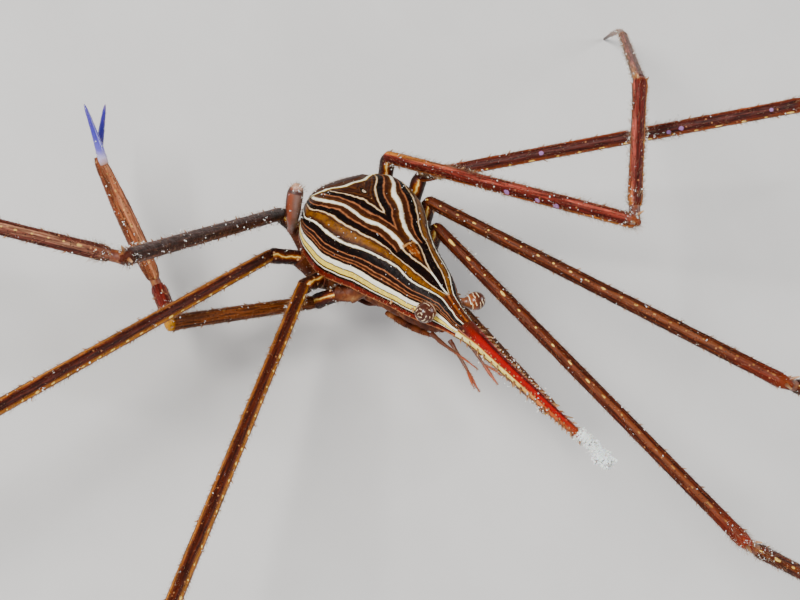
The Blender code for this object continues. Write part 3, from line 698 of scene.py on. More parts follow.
def rostrum_paint():
    """Share 0 is the left edge, 0.25 the crest and 0.5 the right edge."""
    p = Paint("rostrum")
    _, around = p.uv("Marks")
    px, _ = p.uv("Place")
    where = p.where()
    wobble = p.noise(where, 500.0, 3.0)
    a = around + wobble.jitter(0.03)
    # The red of the right side runs over the crest. Painted shade: a dark line just left of the crest,
    # on the rostrum's shaded edge; painted highlight: a brighter red in the middle of the red flanks.
    over = abs(a - 0.21)
    red = (0.40, 0.010, 0.008)
    p.colour = p.ramp(over, (
        (0.0, (0.10, 0.008, 0.007)), (0.03, (0.18, 0.01, 0.008)), (0.055, red),
        (0.10, (0.50, 0.012, 0.010)), (0.175, (0.34, 0.012, 0.010)),
        (0.192, (0.42, 0.05, 0.015)), (0.203, (0.60, 0.22, 0.05)), (0.212, YELLOW),
        (0.23, (0.94, 0.84, 0.42)), (0.275, (0.92, 0.78, 0.28)), (0.302, YELLOW),
        (0.316, BROWN), (0.34, (0.26, 0.05, 0.012)), (0.358, PINK), (0.37, BROWN),
        (0.44, (0.30, 0.12, 0.05)), (0.5, (0.38, 0.17, 0.08))))
    fade = (px + wobble * 0.08).between(0.70, 0.86, 0.0, 0.9)
    p.lay(fade * over.band(0.255, 0.055, 0.02), (0.56, 0.10, 0.025))
    p.lay(px.between(0.84, 0.92) * 0.75, (0.34, 0.10, 0.035))
    # Near the eyes the lines of the shell run on
    base = p.ramp(abs(a - 0.25), (
        (0.0, (0.16, 0.04, 0.016)), (0.07, (0.19, 0.035, 0.014)), (0.14, UMBER),
        (0.160, PINK), (0.168, BROWN), (0.18, (0.36, 0.14, 0.03)), (0.185, YELLOW),
        (0.205, (0.93, 0.86, 0.50)), (0.245, CREAM), (0.268, YELLOW), (0.277, BROWN),
        (0.285, UMBER), (0.295, PINK), (0.305, BROWN), (0.5, BROWN)))
    p.lay((px + wobble * 0.05).between(0.51, 0.585, 1.0, 0.0), base)
    grain = p.noise(where, 4200.0)
    p.shade(0.3, grain, (0.35, 0.3, 0.3))
    p.lay(p.cells(where, 1100.0, 0.12, 0.2, 1.0) * 0.35, (0.75, 0.36, 0.20))
    height = grain + p.noise(where, 1200.0) * 0.8
    return p.finish(grain.between(0.3, 0.7, 0.4, 0.55), (height, 0.6, 0.00008),
                    Specular_IOR_Level=0.12, Subsurface_Weight=0.04, Subsurface_Scale=0.0006)


def limb_paint(name, core, flank, line, back, row=0.62, dots=0.9, pitch=2.6, joint=None,
               highlight_colour=None, highlight_at=0.45, lilac=(), line_at=0.16, gilt=None, fades=False):
    """Cuticle with lengthwise lines and a row of pale dashes, and where given a painted highlight
    streak.
    """
    p = Paint(name)
    along, around = p.uv("Marks")
    mm = along * MARK_MM
    share, _ = p.uv("Place")
    where = p.where()
    turn_a = around * TAU
    streak_at = p.vector(mm * 0.16, p.math("SINE", turn_a) * 1.9, p.math("COSINE", turn_a) * 1.9)
    streak = p.noise(streak_at, 2.2, 4.0, 0.6)
    slow = p.noise(where, 160.0)
    v = around + slow.jitter(0.05) + streak.jitter(0.03)
    p.colour = p.ramp(abs(v - 0.5), (
        (0.0, core), (line_at - 0.07, core), (line_at - 0.03, flank), (line_at, line),
        (line_at + 0.035, flank), (0.33, flank), (0.42, back), (0.46, line), (0.5, back)))
    if highlight_colour is not None:
        # Painted highlight: a broken pale streak along the limb, near the side that faces the camera
        highlight_breaks = p.noise(streak_at, 1.4).between(0.38, 0.62, 0.2, 1.0)
        p.lay(v.band(highlight_at, 0.03, 0.075) * highlight_breaks, highlight_colour)
    if gilt is not None:
        root = share.between(0.03, 0.34, 0.9, 0.0) * v.band(0.35, 0.05, 0.08)
        end = share.between(0.7, 0.95, 0.0, 0.8) * v.band(0.70, 0.04, 0.06)
        p.lay(p.math("MAXIMUM", root, end), gilt)
    p.lay(0.85, streak.between(0.3, 0.7, 0.5, 1.4), "MULTIPLY")
    # Row of dashes
    drift = p.noise(p.vector(mm * 0.3), 2.0) * 0.8
    lengthwise = (p.math("FRACT", mm / pitch + drift) - 0.5) * 8.5
    sideways = (v - row) / 0.025
    uneven = p.noise(p.vector(mm * 0.45), 1.0).between(0.35, 0.65, 2.6, 0.7)
    spread = (lengthwise * lengthwise + sideways * sideways) * uneven
    dash = spread.between(0.4, 1.6, 1.0, 0.0) * dots
    if fades:
        far = share + slow.jitter(0.3)
        dash = dash * far.between(0.4, 0.75, 1.0, 0.3)
        pale = far.between(0.35, 0.6, 0.0, 0.55) * v.band(row, 0.015, 0.05)
        p.lay(pale * far.between(0.8, 0.9, 1.0, 0.2), (0.52, 0.27, 0.12))
        p.lay(far.between(0.84, 0.97, 0.0, 0.5), (0.38, 0.09, 0.045))
    p.lay(v.band(row, 0.02, 0.05) * (0.4 * min(1.0, dots * 1.5)), line)
    p.lay(dash, (0.93, 0.75, 0.32))
    # Fine colour cells, pale specks and a few lilac spots
    p.lay(p.cells(where, 2300.0, 0.1, 0.3, 0.5), (0.02, 0.006, 0.004))
    p.lay(p.cells(where, 900.0, 0.08, 0.14, 0.75), (0.62, 0.40, 0.24))
    for at, turn_at, size in lilac:
        dx = (mm - at) / size
        dy = (around - turn_at) / (size * 0.15)
        away = dx * dx + dy * dy + p.noise(where, 2600.0).jitter(1.6)
        p.lay(away.between(0.6, 1.1, 0.85, 0.0), (0.54, 0.38, 0.62))
    if joint is not None:
        p.lay((share + slow.jitter(0.03)).between(0.955, 0.985, 0.0, 0.7), joint)
    height = streak + p.noise(where, 3000.0) * 0.5
    return p.finish(streak.between(0.3, 0.7, 0.52, 0.36), (height, 0.8, 0.00012), 1.86,
                    Specular_IOR_Level=0.12, Subsurface_Weight=0.02, Subsurface_Scale=0.0005)


def plain_paint(name, stops, scale, rough=0.45, bump=0.4, spread=None, **extra):
    """Mottled paint over a ramp, from noise or, with a spread, along the part."""
    p = Paint(name)
    where = p.where()
    value = blotch = p.noise(where, scale, 4.0, 0.6)
    fine = p.noise(where, scale * 7.0)
    if spread is not None:
        value = p.uv("Place")[0] + blotch.jitter(spread)
    p.colour = p.ramp(value, stops)
    p.shade(0.4, fine, (0.4, 0.4, 0.4))
    return p.finish(rough, (blotch + fine * 0.4, bump, 0.00008), **extra)


def eye_paint():
    """Thin broken rings around the axis of the eye, and a pale collar."""
    p = Paint("eye")
    lon, lat = p.uv("Marks")
    where = p.where()
    level = lat + p.noise(where, 1500.0).jitter(0.12)
    breaks = p.noise(p.vector(lon * 9.0, lat * 5.0), 1.0).between(0.46, 0.54)
    p.colour = p.ramp(level, ((0.0, (0.46, 0.18, 0.04)), (0.26, (0.48, 0.18, 0.04)),
                              (0.40, (0.26, 0.08, 0.028)), (0.55, (0.13, 0.042, 0.02)),
                              (1.0, (0.10, 0.032, 0.018))))
    p.lay(p.math("FRACT", level * 8.0).band(0.5, 0.07, 0.08) * breaks, (0.90, 0.74, 0.50))
    p.lay(level.band(0.27, 0.012, 0.012), CREAM)
    facets = p.made("ShaderNodeTexVoronoi", {"Vector": where, "Scale": 9000.0})
    return p.finish(0.3, (facets, 0.25, 0.00003), Specular_IOR_Level=0.25, Coat_Weight=0.3,
                    Coat_Roughness=0.08)


def hair_paint(name, root, tip, rough=0.5):
    p = Paint(name)
    share, tint = p.uv("Marks")
    p.colour = p.mix(share, root, tip)
    p.lay(0.7, tint.between(0.0, 1.0, 0.6, 1.25, "LINEAR"), "MULTIPLY")
    return p.finish(rough, Subsurface_Weight=0.1, Subsurface_Scale=0.0003)


def ischium_paint():
    p = Paint("ischium")
    _, around = p.uv("Marks")
    where = p.where()
    wobble = p.noise(where, 700.0, 3.0)
    rust = (0.15, 0.038, 0.012)
    gold = (0.46, 0.20, 0.035)
    lines = p.math("FRACT", around * 3.0 + wobble.jitter(0.5))
    p.colour = p.ramp(lines, ((0.0, UMBER), (0.3, rust), (0.43, gold), (0.5, (0.84, 0.62, 0.20)),
                              (0.54, (0.90, 0.76, 0.38)), (0.59, gold), (0.70, rust),
                              (1.0, UMBER)))
    p.lay(p.cells(where, 1000.0, 0.12, 0.2, 0.8), (0.80, 0.55, 0.35))
    height = wobble + p.noise(where, 2600.0) * 0.4
    return p.finish(0.42, (height, 0.8, 0.00014), 1.55, Specular_IOR_Level=0.2,
                    Subsurface_Weight=0.05, Subsurface_Scale=0.0006)


def stump_paint():
    p = Paint("stump")
    _, around = p.uv("Marks")
    share, _ = p.uv("Place")
    where = p.where()
    blotch = p.noise(where, 500.0, 3.0)
    p.colour = p.ramp(around + blotch.jitter(0.08),
                      ((0.3, (0.12, 0.04, 0.02)), (0.36, (0.36, 0.13, 0.06)),
                       (0.45, (0.40, 0.16, 0.08)), (0.5, (0.33, 0.18, 0.13)),
                       (0.6, (0.32, 0.21, 0.17)), (0.7, (0.20, 0.12, 0.09))))
    p.lay(share.band(0.87, 0.012, 0.02), (0.16, 0.06, 0.035))
    p.lay(share.between(0.90, 0.96, 0.0, 0.85), (0.74, 0.56, 0.44))
    p.lay(share.between(0.0, 0.22, 0.9, 0.0), (0.30, 0.11, 0.04))
    p.lay(p.cells(where, 1300.0, 0.06, 0.14, 0.7), (0.08, 0.03, 0.02))
    return p.finish(0.45, (blotch, 0.5, 0.00015), 1.7, Coat_Weight=0.05,
                    Subsurface_Weight=0.15, Subsurface_Scale=0.0008)


SHELL_PAINT = shell_paint()
ROSTRUM_PAINT = rostrum_paint()
EYE_PAINT = eye_paint()
ISCHIUM_PAINT = ischium_paint()
STUMP_PAINT = stump_paint()
SPINE_PAINT = hair_paint("spines", (0.22, 0.06, 0.02), (0.62, 0.40, 0.20), 0.35)
SETA_PAINT = hair_paint("setae", (0.24, 0.11, 0.04), (0.58, 0.44, 0.28))
CRUMB_PAINT = hair_paint("crumbs", (0.74, 0.74, 0.72), (0.86, 0.86, 0.84), 0.7)
STALK_PAINT = plain_paint("stalk", ((0.3, (0.10, 0.03, 0.012)), (0.6, (0.34, 0.13, 0.04))), 900.0,
                          Coat_Weight=0.2)
UNDER_PAINT = plain_paint("underside", (
    (0.2, (0.04, 0.012, 0.007)), (0.42, (0.12, 0.036, 0.015)), (0.55, (0.22, 0.075, 0.028)),
    (0.66, (0.36, 0.17, 0.07)), (0.8, (0.60, 0.42, 0.22))), 420.0, 0.5, Specular_IOR_Level=0.15)
FEELER_PAINT = plain_paint("feeler", (
    (0.0, (0.16, 0.055, 0.025)), (0.55, (0.24, 0.09, 0.04)), (0.68, (0.46, 0.13, 0.045)),
    (0.9, (0.54, 0.14, 0.04)), (1.0, (0.36, 0.20, 0.14))), 1300.0, spread=0.2,
    Subsurface_Weight=0.2, Subsurface_Scale=0.0006)
GROWTH_PAINT = plain_paint("growth", (
    (0.25, (0.82, 0.78, 0.68)), (0.40, (0.95, 0.93, 0.88)), (0.6, (1.0, 0.995, 0.975))), 1300.0,
    0.75, 0.6, deep=1.0, Subsurface_Weight=0.25, Subsurface_Scale=0.0009)
MEMBRANE_PAINT = plain_paint("membrane", (
    (0.3, (0.20, 0.06, 0.02)), (0.5, (0.38, 0.15, 0.05)), (0.7, (0.56, 0.32, 0.13))), 900.0,
    deep=1.9, Subsurface_Weight=0.05, Subsurface_Scale=0.0006)
DACTYL_PAINT = plain_paint("dactyl", (
    (0.0, (0.20, 0.06, 0.025)), (0.35, (0.34, 0.13, 0.05)), (0.6, (0.20, 0.06, 0.03)),
    (0.9, (0.12, 0.04, 0.02)), (1.0, (0.08, 0.03, 0.015))), 420.0, 0.35, spread=0.5,
    Coat_Weight=0.25, Subsurface_Weight=0.1, Subsurface_Scale=0.0006)
FIXED_PAINT, MOVING_PAINT = (
    plain_paint(name, stops, 900.0, 0.35, spread=0.15, Coat_Weight=0.3, Subsurface_Weight=0.1,
                Subsurface_Scale=0.0006)
    for name, stops in (
        ("fixed_finger", ((0.0, (0.50, 0.30, 0.22)), (0.10, (0.60, 0.54, 0.74)),
                          (0.27, (0.21, 0.18, 0.64)), (0.5, (0.10, 0.065, 0.50)),
                          (1.0, (0.10, 0.06, 0.45)))),
        ("moving_finger", ((0.0, (0.10, 0.06, 0.40)), (0.5, (0.05, 0.03, 0.36)),
                           (0.85, (0.08, 0.05, 0.42)), (1.0, (0.34, 0.26, 0.5))))))
# Limb paints: colours of the core, flank, line and back, then what differs from the usual; some limbs
# carry a painted highlight streak
LIMB_PAINTS = {name: limb_paint(name, *colours, **settings) for name, colours, settings in (
    ("leg_L2", ((0.31, 0.13, 0.052), (0.18, 0.056, 0.028), (0.27, 0.10, 0.038), (0.15, 0.05, 0.022)),
     dict(row=0.485, dots=0.95, pitch=3.0, joint=(0.46, 0.11, 0.06), line_at=0.115, fades=True)),
    ("leg_L3", ((0.30, 0.125, 0.045), (0.15, 0.050, 0.024), (0.25, 0.10, 0.035), (0.13, 0.045, 0.02)),
     dict(row=0.47, pitch=2.3, joint=(0.36, 0.13, 0.05), line_at=0.115, fades=True)),
    ("leg_L4", ((0.20, 0.066, 0.045), (0.27, 0.085, 0.042), (0.50, 0.22, 0.07), (0.18, 0.055, 0.03)),
     dict(row=0.635, dots=1.0, pitch=2.9, joint=(0.38, 0.13, 0.05),
          lilac=((16.0, 0.5, 0.32), (31.8, 0.56, 0.3), (33.4, 0.53, 0.34), (44.5, 0.5, 0.26)))),
    ("leg_L5", ((0.24, 0.064, 0.044), (0.20, 0.052, 0.032), (0.52, 0.24, 0.07), (0.18, 0.05, 0.028)),
     dict(row=0.69, dots=0.3, pitch=2.4, joint=(0.42, 0.18, 0.07), highlight_colour=(0.54, 0.22, 0.17),
          highlight_at=0.44, gilt=(0.60, 0.34, 0.09),
          lilac=((19.0, 0.60, 0.4), (23.5, 0.6, 0.35), (26.2, 0.63, 0.45)))),
    ("leg_L5_far", ((0.24, 0.064, 0.044), (0.19, 0.056, 0.03), (0.56, 0.28, 0.08), (0.18, 0.05, 0.028)),
     dict(row=0.67, dots=0.85, pitch=2.0, joint=(0.42, 0.18, 0.07), highlight_colour=(0.50, 0.21, 0.17),
          highlight_at=0.40, gilt=(0.60, 0.34, 0.09))),
    ("leg_R2", ((0.20, 0.070, 0.032), (0.38, 0.175, 0.05), (0.58, 0.34, 0.08), (0.22, 0.08, 0.03)),
     dict(row=0.375, dots=1.0, pitch=2.5, joint=(0.36, 0.14, 0.05), line_at=0.135)),
    ("leg_R3", ((0.19, 0.062, 0.030), (0.38, 0.170, 0.05), (0.58, 0.34, 0.08), (0.22, 0.07, 0.03)),
     dict(row=0.37, dots=1.0, pitch=2.4, joint=(0.36, 0.14, 0.05), line_at=0.135)),
    # leg_R4 paints the merus near black as painted shadow of the body over it; the carpus and propodus
    # take leg_R4_far
    ("leg_R4", ((0.15, 0.054, 0.018), (0.18, 0.066, 0.022), (0.26, 0.11, 0.035), (0.15, 0.050, 0.017)),
     dict(row=0.36, dots=0.15, pitch=3.0, joint=(0.26, 0.10, 0.06))),
    ("leg_R4_far", ((0.26, 0.12, 0.095), (0.20, 0.080, 0.060), (0.28, 0.12, 0.08), (0.16, 0.06, 0.045)),
     dict(row=0.53, dots=0.55, pitch=1.7, highlight_colour=(0.62, 0.44, 0.32), highlight_at=0.53,
          joint=(0.30, 0.12, 0.07))),
    ("claw", ((0.32, 0.15, 0.055), (0.23, 0.10, 0.038), (0.38, 0.19, 0.06), (0.26, 0.10, 0.035)),
     dict(row=0.6, dots=0.2, pitch=2.2, joint=(0.92, 0.60, 0.03))),
    ("claw_wrist", ((0.32, 0.085, 0.060), (0.23, 0.06, 0.042), (0.42, 0.16, 0.11), (0.22, 0.05, 0.035)),
     dict(row=0.6, dots=0.1)),
    ("palm", ((0.45, 0.22, 0.125), (0.34, 0.15, 0.08), (0.46, 0.25, 0.14), (0.28, 0.11, 0.06)),
     dict(row=0.42, dots=0.4, pitch=2.3, highlight_colour=(0.55, 0.34, 0.23), highlight_at=0.47)),
)}


# Shell, rostrum and growth
def shell_ring(x, turns):
    """Sections of the shell at each x, over turns from the left edge across the crest."""
    top, half, mid, low, square = (column[:, None] for column in columns(SHELL, x))
    power = 2.0 / square
    c = np.cos(turns)[None]
    s = np.sin(turns)[None]
    y = half * np.sign(c) * np.abs(c) ** power
    rise = np.where(s >= 0, (top - mid) * np.abs(s) ** power, -low * np.abs(s) ** 0.9)
    tuck = np.where(s < 0, 1.0 - 0.06 * np.abs(s), 1.0)
    return np.stack([np.broadcast_to(x[:, None], y.shape), y * tuck, mid + rise], -1)


def stripe_marks(points):
    """Where each point lies between the lines of the stripes, and its way from the margin."""
    upper = points[:, :SHELL_HALF + 1]
    run = np.cumsum(np.linalg.norm(np.diff(upper, axis=1, prepend=upper[:, :1]), axis=2), axis=1)
    edge = np.minimum(run, run[:, -1:] - run)
    lines = [0.0] + [line[:, None] for line in columns(LINES, upper[:, 0, 0])]
    mark = np.zeros_like(edge)
    for i, (near, far) in enumerate(zip(lines, lines[1:])):
        value = LEVELS[i] + (LEVELS[i + 1] - LEVELS[i]) * (edge - near) / (far - near)
        mark = np.where(edge >= near, value, mark)
    return np.minimum(mark, 0.92), edge


def mound(points, x, y, reach_x, reach_y):
    """Round swelling of height one about a place on the shell."""
    return np.exp(-((points[..., 0] - x) / reach_x) ** 2 - ((points[..., 1] - y) / reach_y) ** 2)


def shell():
    x = np.concatenate([np.linspace(-3.0, 0.0, 60)[:-1], np.linspace(0.0, SPLIT_X, 230)])
    turns = np.concatenate([np.linspace(0, math.pi, SHELL_HALF + 1),
                            np.linspace(math.pi, TAU, 31)[1:-1]])
    points = shell_ring(x, turns)
    under = ((0, 0), (0, len(turns) - SHELL_HALF - 1))
    mark, edge = (np.pad(values, under) for values in stripe_marks(points))
    # Line along the rear, in front of a rolled rim
    y = points[..., 1]
    behind = points[..., 0] - 0.45 + 0.06 * y ** 2 + 0.12 * np.cos(2.1 * y)
    behind = behind + 3.0 * np.clip(1.2 - edge, 0.0, None)
    # Rounded lobes between shallow grooves, and the middle nodes
    lobe = 0.1 * np.exp(-((behind + 0.05) / 0.25) ** 2)
    lobe = lobe - 0.22 * np.exp(-((behind + 0.75) / 0.35) ** 2)
    for cx, cy, rx, ry, height in (
            (2.4, 0.0, 2.6, 1.7, 0.22), (9.0, 0.0, 4.2, 2.6, 0.18), (5.0, 4.6, 3.4, 1.9, 0.22),
            (15.5, 0.0, 3.0, 1.3, 0.14), (6.0, 2.6, 2.6, 0.7, -0.20), (12.6, 1.8, 2.6, 0.6, -0.10),
            (12.0, 0.0, 0.75, 0.75, 0.22), (4.0, 0.0, 0.8, 0.8, 0.12), (20.3, 0.0, 0.6, 0.6, 0.12)):
        for middle in {cy, -cy}:
            lobe = lobe + height * mound(points, cx, middle, rx, ry)
    upper = np.clip((points[..., 2] - points[..., 2].min(axis=1, keepdims=True)) / 3.0, 0.0, 1.0)
    points[..., 2] += lobe * upper
    # Pale lines stand slightly proud of the dark bands
    for level, wide in ((0.252, 0.018), (0.492, 0.010), (0.567, 0.006), (0.658, 0.010),
                        (0.754, 0.005)):
        points[..., 2] += 0.07 * np.exp(-((mark - level) / wide) ** 2) * upper
    grain = ripple(points, 0.9, 3) * 0.014 + ripple(points, 0.42, 4) * 0.009
    points[..., 2] += grain * upper
    zero = np.zeros_like(mark)
    place = points[..., :2] / (PLACE_X, PLACE_Y) + (0.0, 0.5)
    layers = (np.stack([mark, zero], -1), place, np.stack([behind / RIM_SCALE, zero], -1))
    marks, place, rim = (np.concatenate([layer, layer[:, :1]], 1) for layer in layers)
    sheaf = Sheaf()
    sheaf.grid(world(points), marks, place, 0, (True, False), rim)
    # Thorns of the shell: root, way, length and width
    thorns = [((18.2, s * 3.0, 2.1), (0.7, s * 0.7, 0.15), 0.95, 0.3) for s in (1, -1)]
    thorns += [((15.4, s * 3.8, 1.3), (0.4, s * 0.9, 0.1), 0.85, 0.32) for s in (1, -1)]
    thorns += [((12.0, 0.0, 6.0), (0.45, 0.0, 1.0), 0.6, 0.24),
               ((4.0, 0.0, 7.0), (0.1, 0.0, 1.0), 0.3, 0.26),
               ((20.3, 0.0, 4.65), (0.6, 0.0, 0.8), 0.45, 0.18)]
    rng = np.random.default_rng(5)
    for s in (1, -1):
        for x0 in np.arange(1.5, 21.0, 1.05):
            _, half, mid, _, _ = columns(SHELL, x0)
            thorns.append(((x0 + rng.uniform(-0.3, 0.3), s * half * 0.985, mid + 0.25),
                           (0.5, s * 0.85, 0.0), rng.uniform(0.16, 0.34), 0.1))
    roots, ways, lengths, widths = (np.array(column) for column in zip(*thorns))
    ways = turned(ways)
    hairs(sheaf, world(roots) - ways * 0.25, ways, turned((0.3, 0, 0.1)) * 0.15, lengths + 0.25,
          widths, sides=10, slot=1, cuts=SPINE_CUTS)
    sheaf.make("shell", [SHELL_PAINT, SPINE_PAINT], "carapace", ["carapace"], "Rim")
    return world(points)


def rostrum():
    x = np.linspace(SPLIT_X, 47.2, 230)
    turns = np.linspace(0, TAU, 73)
    points = shell_ring(x, turns[:-1])
    bumps = ripple(points, 0.8, 8) * 0.014 + ripple(points, 0.35, 9) * 0.012
    out = unit(points - points.mean(axis=1, keepdims=True))
    points = points + out * (bumps * step(24.6, 26.0, x)[:, None])[..., None]
    sheaf = Sheaf()
    place = ring_grid(x / PLACE_X, turns)
    sheaf.grid(world(points), place, place, 0, (False, True))
    # Rows of spines: angle, length and how many, on each side
    rng = np.random.default_rng(11)
    spines = []
    for s in (1.0, -1.0):
        for row, tall, many in ((0.15, 0.95, 17), (-0.35, 0.6, 21), (0.75, 0.45, 24)):
            for x0 in np.linspace(25.4, 46.4, many) + rng.uniform(-0.3, 0.3, many):
                angle = row + rng.uniform(-0.12, 0.12)
                spines.append((x0, s * math.cos(angle), math.sin(angle),
                               tall * rng.uniform(0.6, 1.15)))
    x0, cy, cz, lengths = np.array(spines).T
    top, half, mid, low, _ = columns(SHELL, x0)
    roots = np.stack([x0, half * cy * 0.9, mid + np.where(cz > 0, top - mid, low) * cz * 0.9], -1)
    ways = turned(np.stack([np.full_like(x0, 0.8), cy, cz], -1))
    hairs(sheaf, world(roots), ways, turned((1, 0, 0)) * 0.2, lengths, 0.10 + 0.07 * lengths,
          sides=8, slot=1, cuts=SPINE_CUTS)
    sheaf.make("rostrum_skin", [ROSTRUM_PAINT, SPINE_PAINT], "rostrum", ["rostrum"])


def growth():
    """White sponge on the end of the rostrum: a lumpy core, nodules and short threads."""
    rng = np.random.default_rng(21)
    sheaf = Sheaf()

    def around(angle, lean):
        return np.stack([lean, np.cos(angle), np.sin(angle)], -1)

    def core(share, start, end):
        return np.stack([start + (end - start) * share, 0.15 * np.sin(5.0 * share),
                         3.95 + 0.38 * share], -1)

    share = np.linspace(0, 1, 90)
    swell = 0.34 + 0.07 * np.sin(9.0 * share + 0.4) + 0.20 * share ** 2
    swell = swell * np.sqrt(np.clip((1.0 - share) / 0.06, 0.02, 1.0))
    turns = np.linspace(0, TAU, 65)
    out = around(turns[:-1], np.zeros(64))
    points = core(share, 46.0, 51.3)[:, None] + out * swell[:, None, None]
    lumps = ripple(points, 1.3, 31) * 0.14 + ripple(points, 0.55, 32) * 0.11
    lumps = lumps + np.abs(ripple(points, 0.28, 33)) * 0.07
    grid = ring_grid(share, turns)
    sheaf.grid(world(points + out * lumps[..., None]), grid, grid)
    k = 900
    s = rng.uniform(0.0, 1.0, k) ** 0.85
    angle = rng.uniform(0, TAU, k)
    mid = core(s, 45.6, 51.3)
    way = around(angle, rng.normal(0, 0.25, k))
    radius = 0.38 + 0.10 * np.sin(9.0 * s + 0.4) + 0.24 * s ** 2
    clump = np.clip(0.5 + 0.5 * ripple(mid + way * 0.8, 1.5, 35), 0, 1.2) ** 2
    lift = radius * rng.uniform(0.85, 1.1, k) + 0.34 * clump
    crumbs(sheaf, world(mid + way * lift[:, None]), rng.uniform(0.06, 0.21, k), rng, uneven=0.4)
    k = 420
    s = rng.uniform(0.0, 1.0, k)
    angle = rng.uniform(0, TAU, k)
    way = unit(around(angle, rng.normal(0.25, 0.4, k)))
    hairs(sheaf, world(core(s, 45.4, 51.3) + way * 0.4), way @ TURN_ROWS.T,
          rng.normal(0, 0.25, (k, 3)), rng.uniform(0.25, 0.75, k), rng.uniform(0.025, 0.055, k),
          sides=4)
    sheaf.make("growth_skin", [GROWTH_PAINT], "growth", ["rostrum_growth"])


# Underside and abdomen
def underside():
    stations = ((0.6, 2.6, -3.2), (1.6, 3.7, -4.1), (4.0, 4.3, -4.7), (7.0, 4.0, -4.6),
                (10.0, 3.2, -3.9), (13.0, 2.5, -3.1), (16.0, 1.95, -2.45), (18.6, 1.5, -1.7),
                (20.6, 1.0, -0.85))
    x = np.linspace(0.6, 20.6, 150)
    half, low = (column[:, None] for column in columns(stations, x))
    top = columns(SHELL, x)[2][:, None] - 0.6
    turns = np.linspace(0, TAU, 81)
    c = np.cos(turns[:-1])[None]
    s = np.sin(turns[:-1])[None]
    y = half * np.sign(c) * np.abs(c) ** 0.65
    z = 0.5 * (top + low) + 0.5 * (top - low) * np.sign(s) * np.abs(s) ** 0.65
    # Plates between the leg roots
    plates = 0.16 * np.abs(np.sin(math.pi * (x - 1.0) / 2.85))[:, None] ** 0.5
    groove = -0.35 * np.exp(-(y / 0.5) ** 2) * step(-2.0, -4.0, z)
    z = z + np.where(s < 0, -plates - groove, 0.0)
    points = np.stack([np.broadcast_to(x[:, None], y.shape), y, z], -1)
    points = points + (ripple(points, 0.8, 41) * 0.03)[..., None] * np.array([0.2, 1.0, 1.0])
    grid = ring_grid((x - x[0]) / 21.0, turns)
    sheaf = Sheaf()
    sheaf.grid(world(points), grid, grid)
    # Side wall under the margin, with the coxal sockets
    for (side, number), (root, _, _) in ROOTS.items():
        root = mirrored(root, side)
        inner = root + np.array([0.15, -1.6 * np.sign(root[1]), 1.0])
        Limb(world([inner, root, root + (root - inner) * 0.25]), [1.5, 1.28, 1.16], 30, 36,
             seed=50 + number).into(sheaf)
    sheaf.make("underside_skin", [UNDER_PAINT], "underside", ["underside"])


def abdomen():
    path = [(-2.5, 0.0, 1.6), (-2.9, 0.0, -0.6), (-1.7, 0.0, -3.0), (0.6, 0.0, -4.9),
            (3.4, 0.0, -6.1), (6.4, 0.0, -6.4), (9.0, 0.0, -6.0)]
    points, width, share, _ = resample(path, [2.4, 2.9, 3.0, 2.7, 2.3, 1.8, 1.2], 190)
    across = np.array([0.0, 1.0, 0.0])
    rise = np.cross(across, unit(np.gradient(points, axis=0)))
    joints = np.abs(np.sin(math.pi * share * 6.5)) ** 0.35
    end = np.sqrt(np.clip(1.0 - ((share - 0.93) / 0.07).clip(0, 1) ** 2, 0.03, 1.0))
    width = (width * (0.9 + 0.1 * joints) * end)[:, None, None]
    thick = (0.55 * (0.72 + 0.28 * joints) * end)[:, None, None]
    turns = np.linspace(0, TAU, 57)
    c = np.cos(turns[:-1])[:, None]
    s = np.sin(turns[:-1])[:, None]
    ridge = 1.0 + 0.35 * np.exp(-(c / 0.18) ** 2) * (s > 0)
    rings = points[:, None] + across * width * c + rise[:, None] * thick * s * ridge
    rings = rings + ripple(rings, 0.7, 61)[..., None] * 0.02
    grid = ring_grid(share, turns)
    sheaf = Sheaf()
    sheaf.grid(world(rings), grid, grid)
    sheaf.make("abdomen_skin", [UNDER_PAINT], "underside", ["abdomen"])


# Eyes, feelers and mouthparts
def eye(side, sign):
    """Eye on its stalk, the near one as large as it shows."""
    centre = world((EYE_CENTRE[0], sign * EYE_CENTRE[1], EYE_CENTRE[2]))
    size = EYE_RADIUS * 0.86
    if side == "R":
        centre = centre + turned((-0.05, 0.06, 0.08))
        size = EYE_RADIUS * 0.96
    axis = turned((0.3, sign * 0.95, 0.25))
    rise = unit(np.cross(axis, turned((0, 0, 1.0))))
    other = np.cross(axis, rise)

    def out(lat, lon):
        return (axis * np.cos(lat)[..., None] + rise * (np.sin(lat) * np.cos(lon))[..., None]
                + other * (np.sin(lat) * np.sin(lon))[..., None])

    lat = np.linspace(math.pi - 0.02, 0.02, 60)[:, None]
    turns = np.linspace(0, TAU, 73)
    radius = size * (1.0 + 0.03 * np.cos(lat * 2.0))
    grid = np.stack(np.broadcast_arrays(turns[None] / TAU, 1.0 - lat / math.pi), -1)
    sheaf = Sheaf()
    sheaf.grid(centre + out(lat, turns[None, :-1]) * radius[..., None], grid, grid)
    start = world((20.0, sign * 1.7, 2.6))
    Limb([start, 0.5 * (start + centre) - axis * 0.2, centre - axis * 0.5], [0.62, 0.55, 0.95],
         40, 32, seed=70).into(sheaf, 1)
    rng = np.random.default_rng(71)
    k = 60
    lon = rng.uniform(0, TAU, k)
    ring = out(rng.uniform(1.9, 2.4, k), lon)
    hairs(sheaf, centre + ring * EYE_RADIUS, ring, rng.normal(0, 0.2, (k, 3)),
          rng.uniform(0.1, 0.3, k), 0.02, slot=2)
    sheaf.make("eye_%s_skin" % side, [EYE_PAINT, STALK_PAINT, SETA_PAINT], "eye", ["eye_" + side])


def feeler(sign, path, radii, count, sides, seed, waists, **shape):
    """Thin limb beside the head, narrowed at its joints by a depth, at a rate and a power."""
    limb = Limb(world([(x, sign * y, z) for x, y, z in path]), radii, count, sides, seed=seed,
                **shape)
    depth, rate, power = waists
    limb.radii = limb.radii * (1.0 - depth * np.abs(np.sin(limb.shares * rate)) ** power)
    return limb


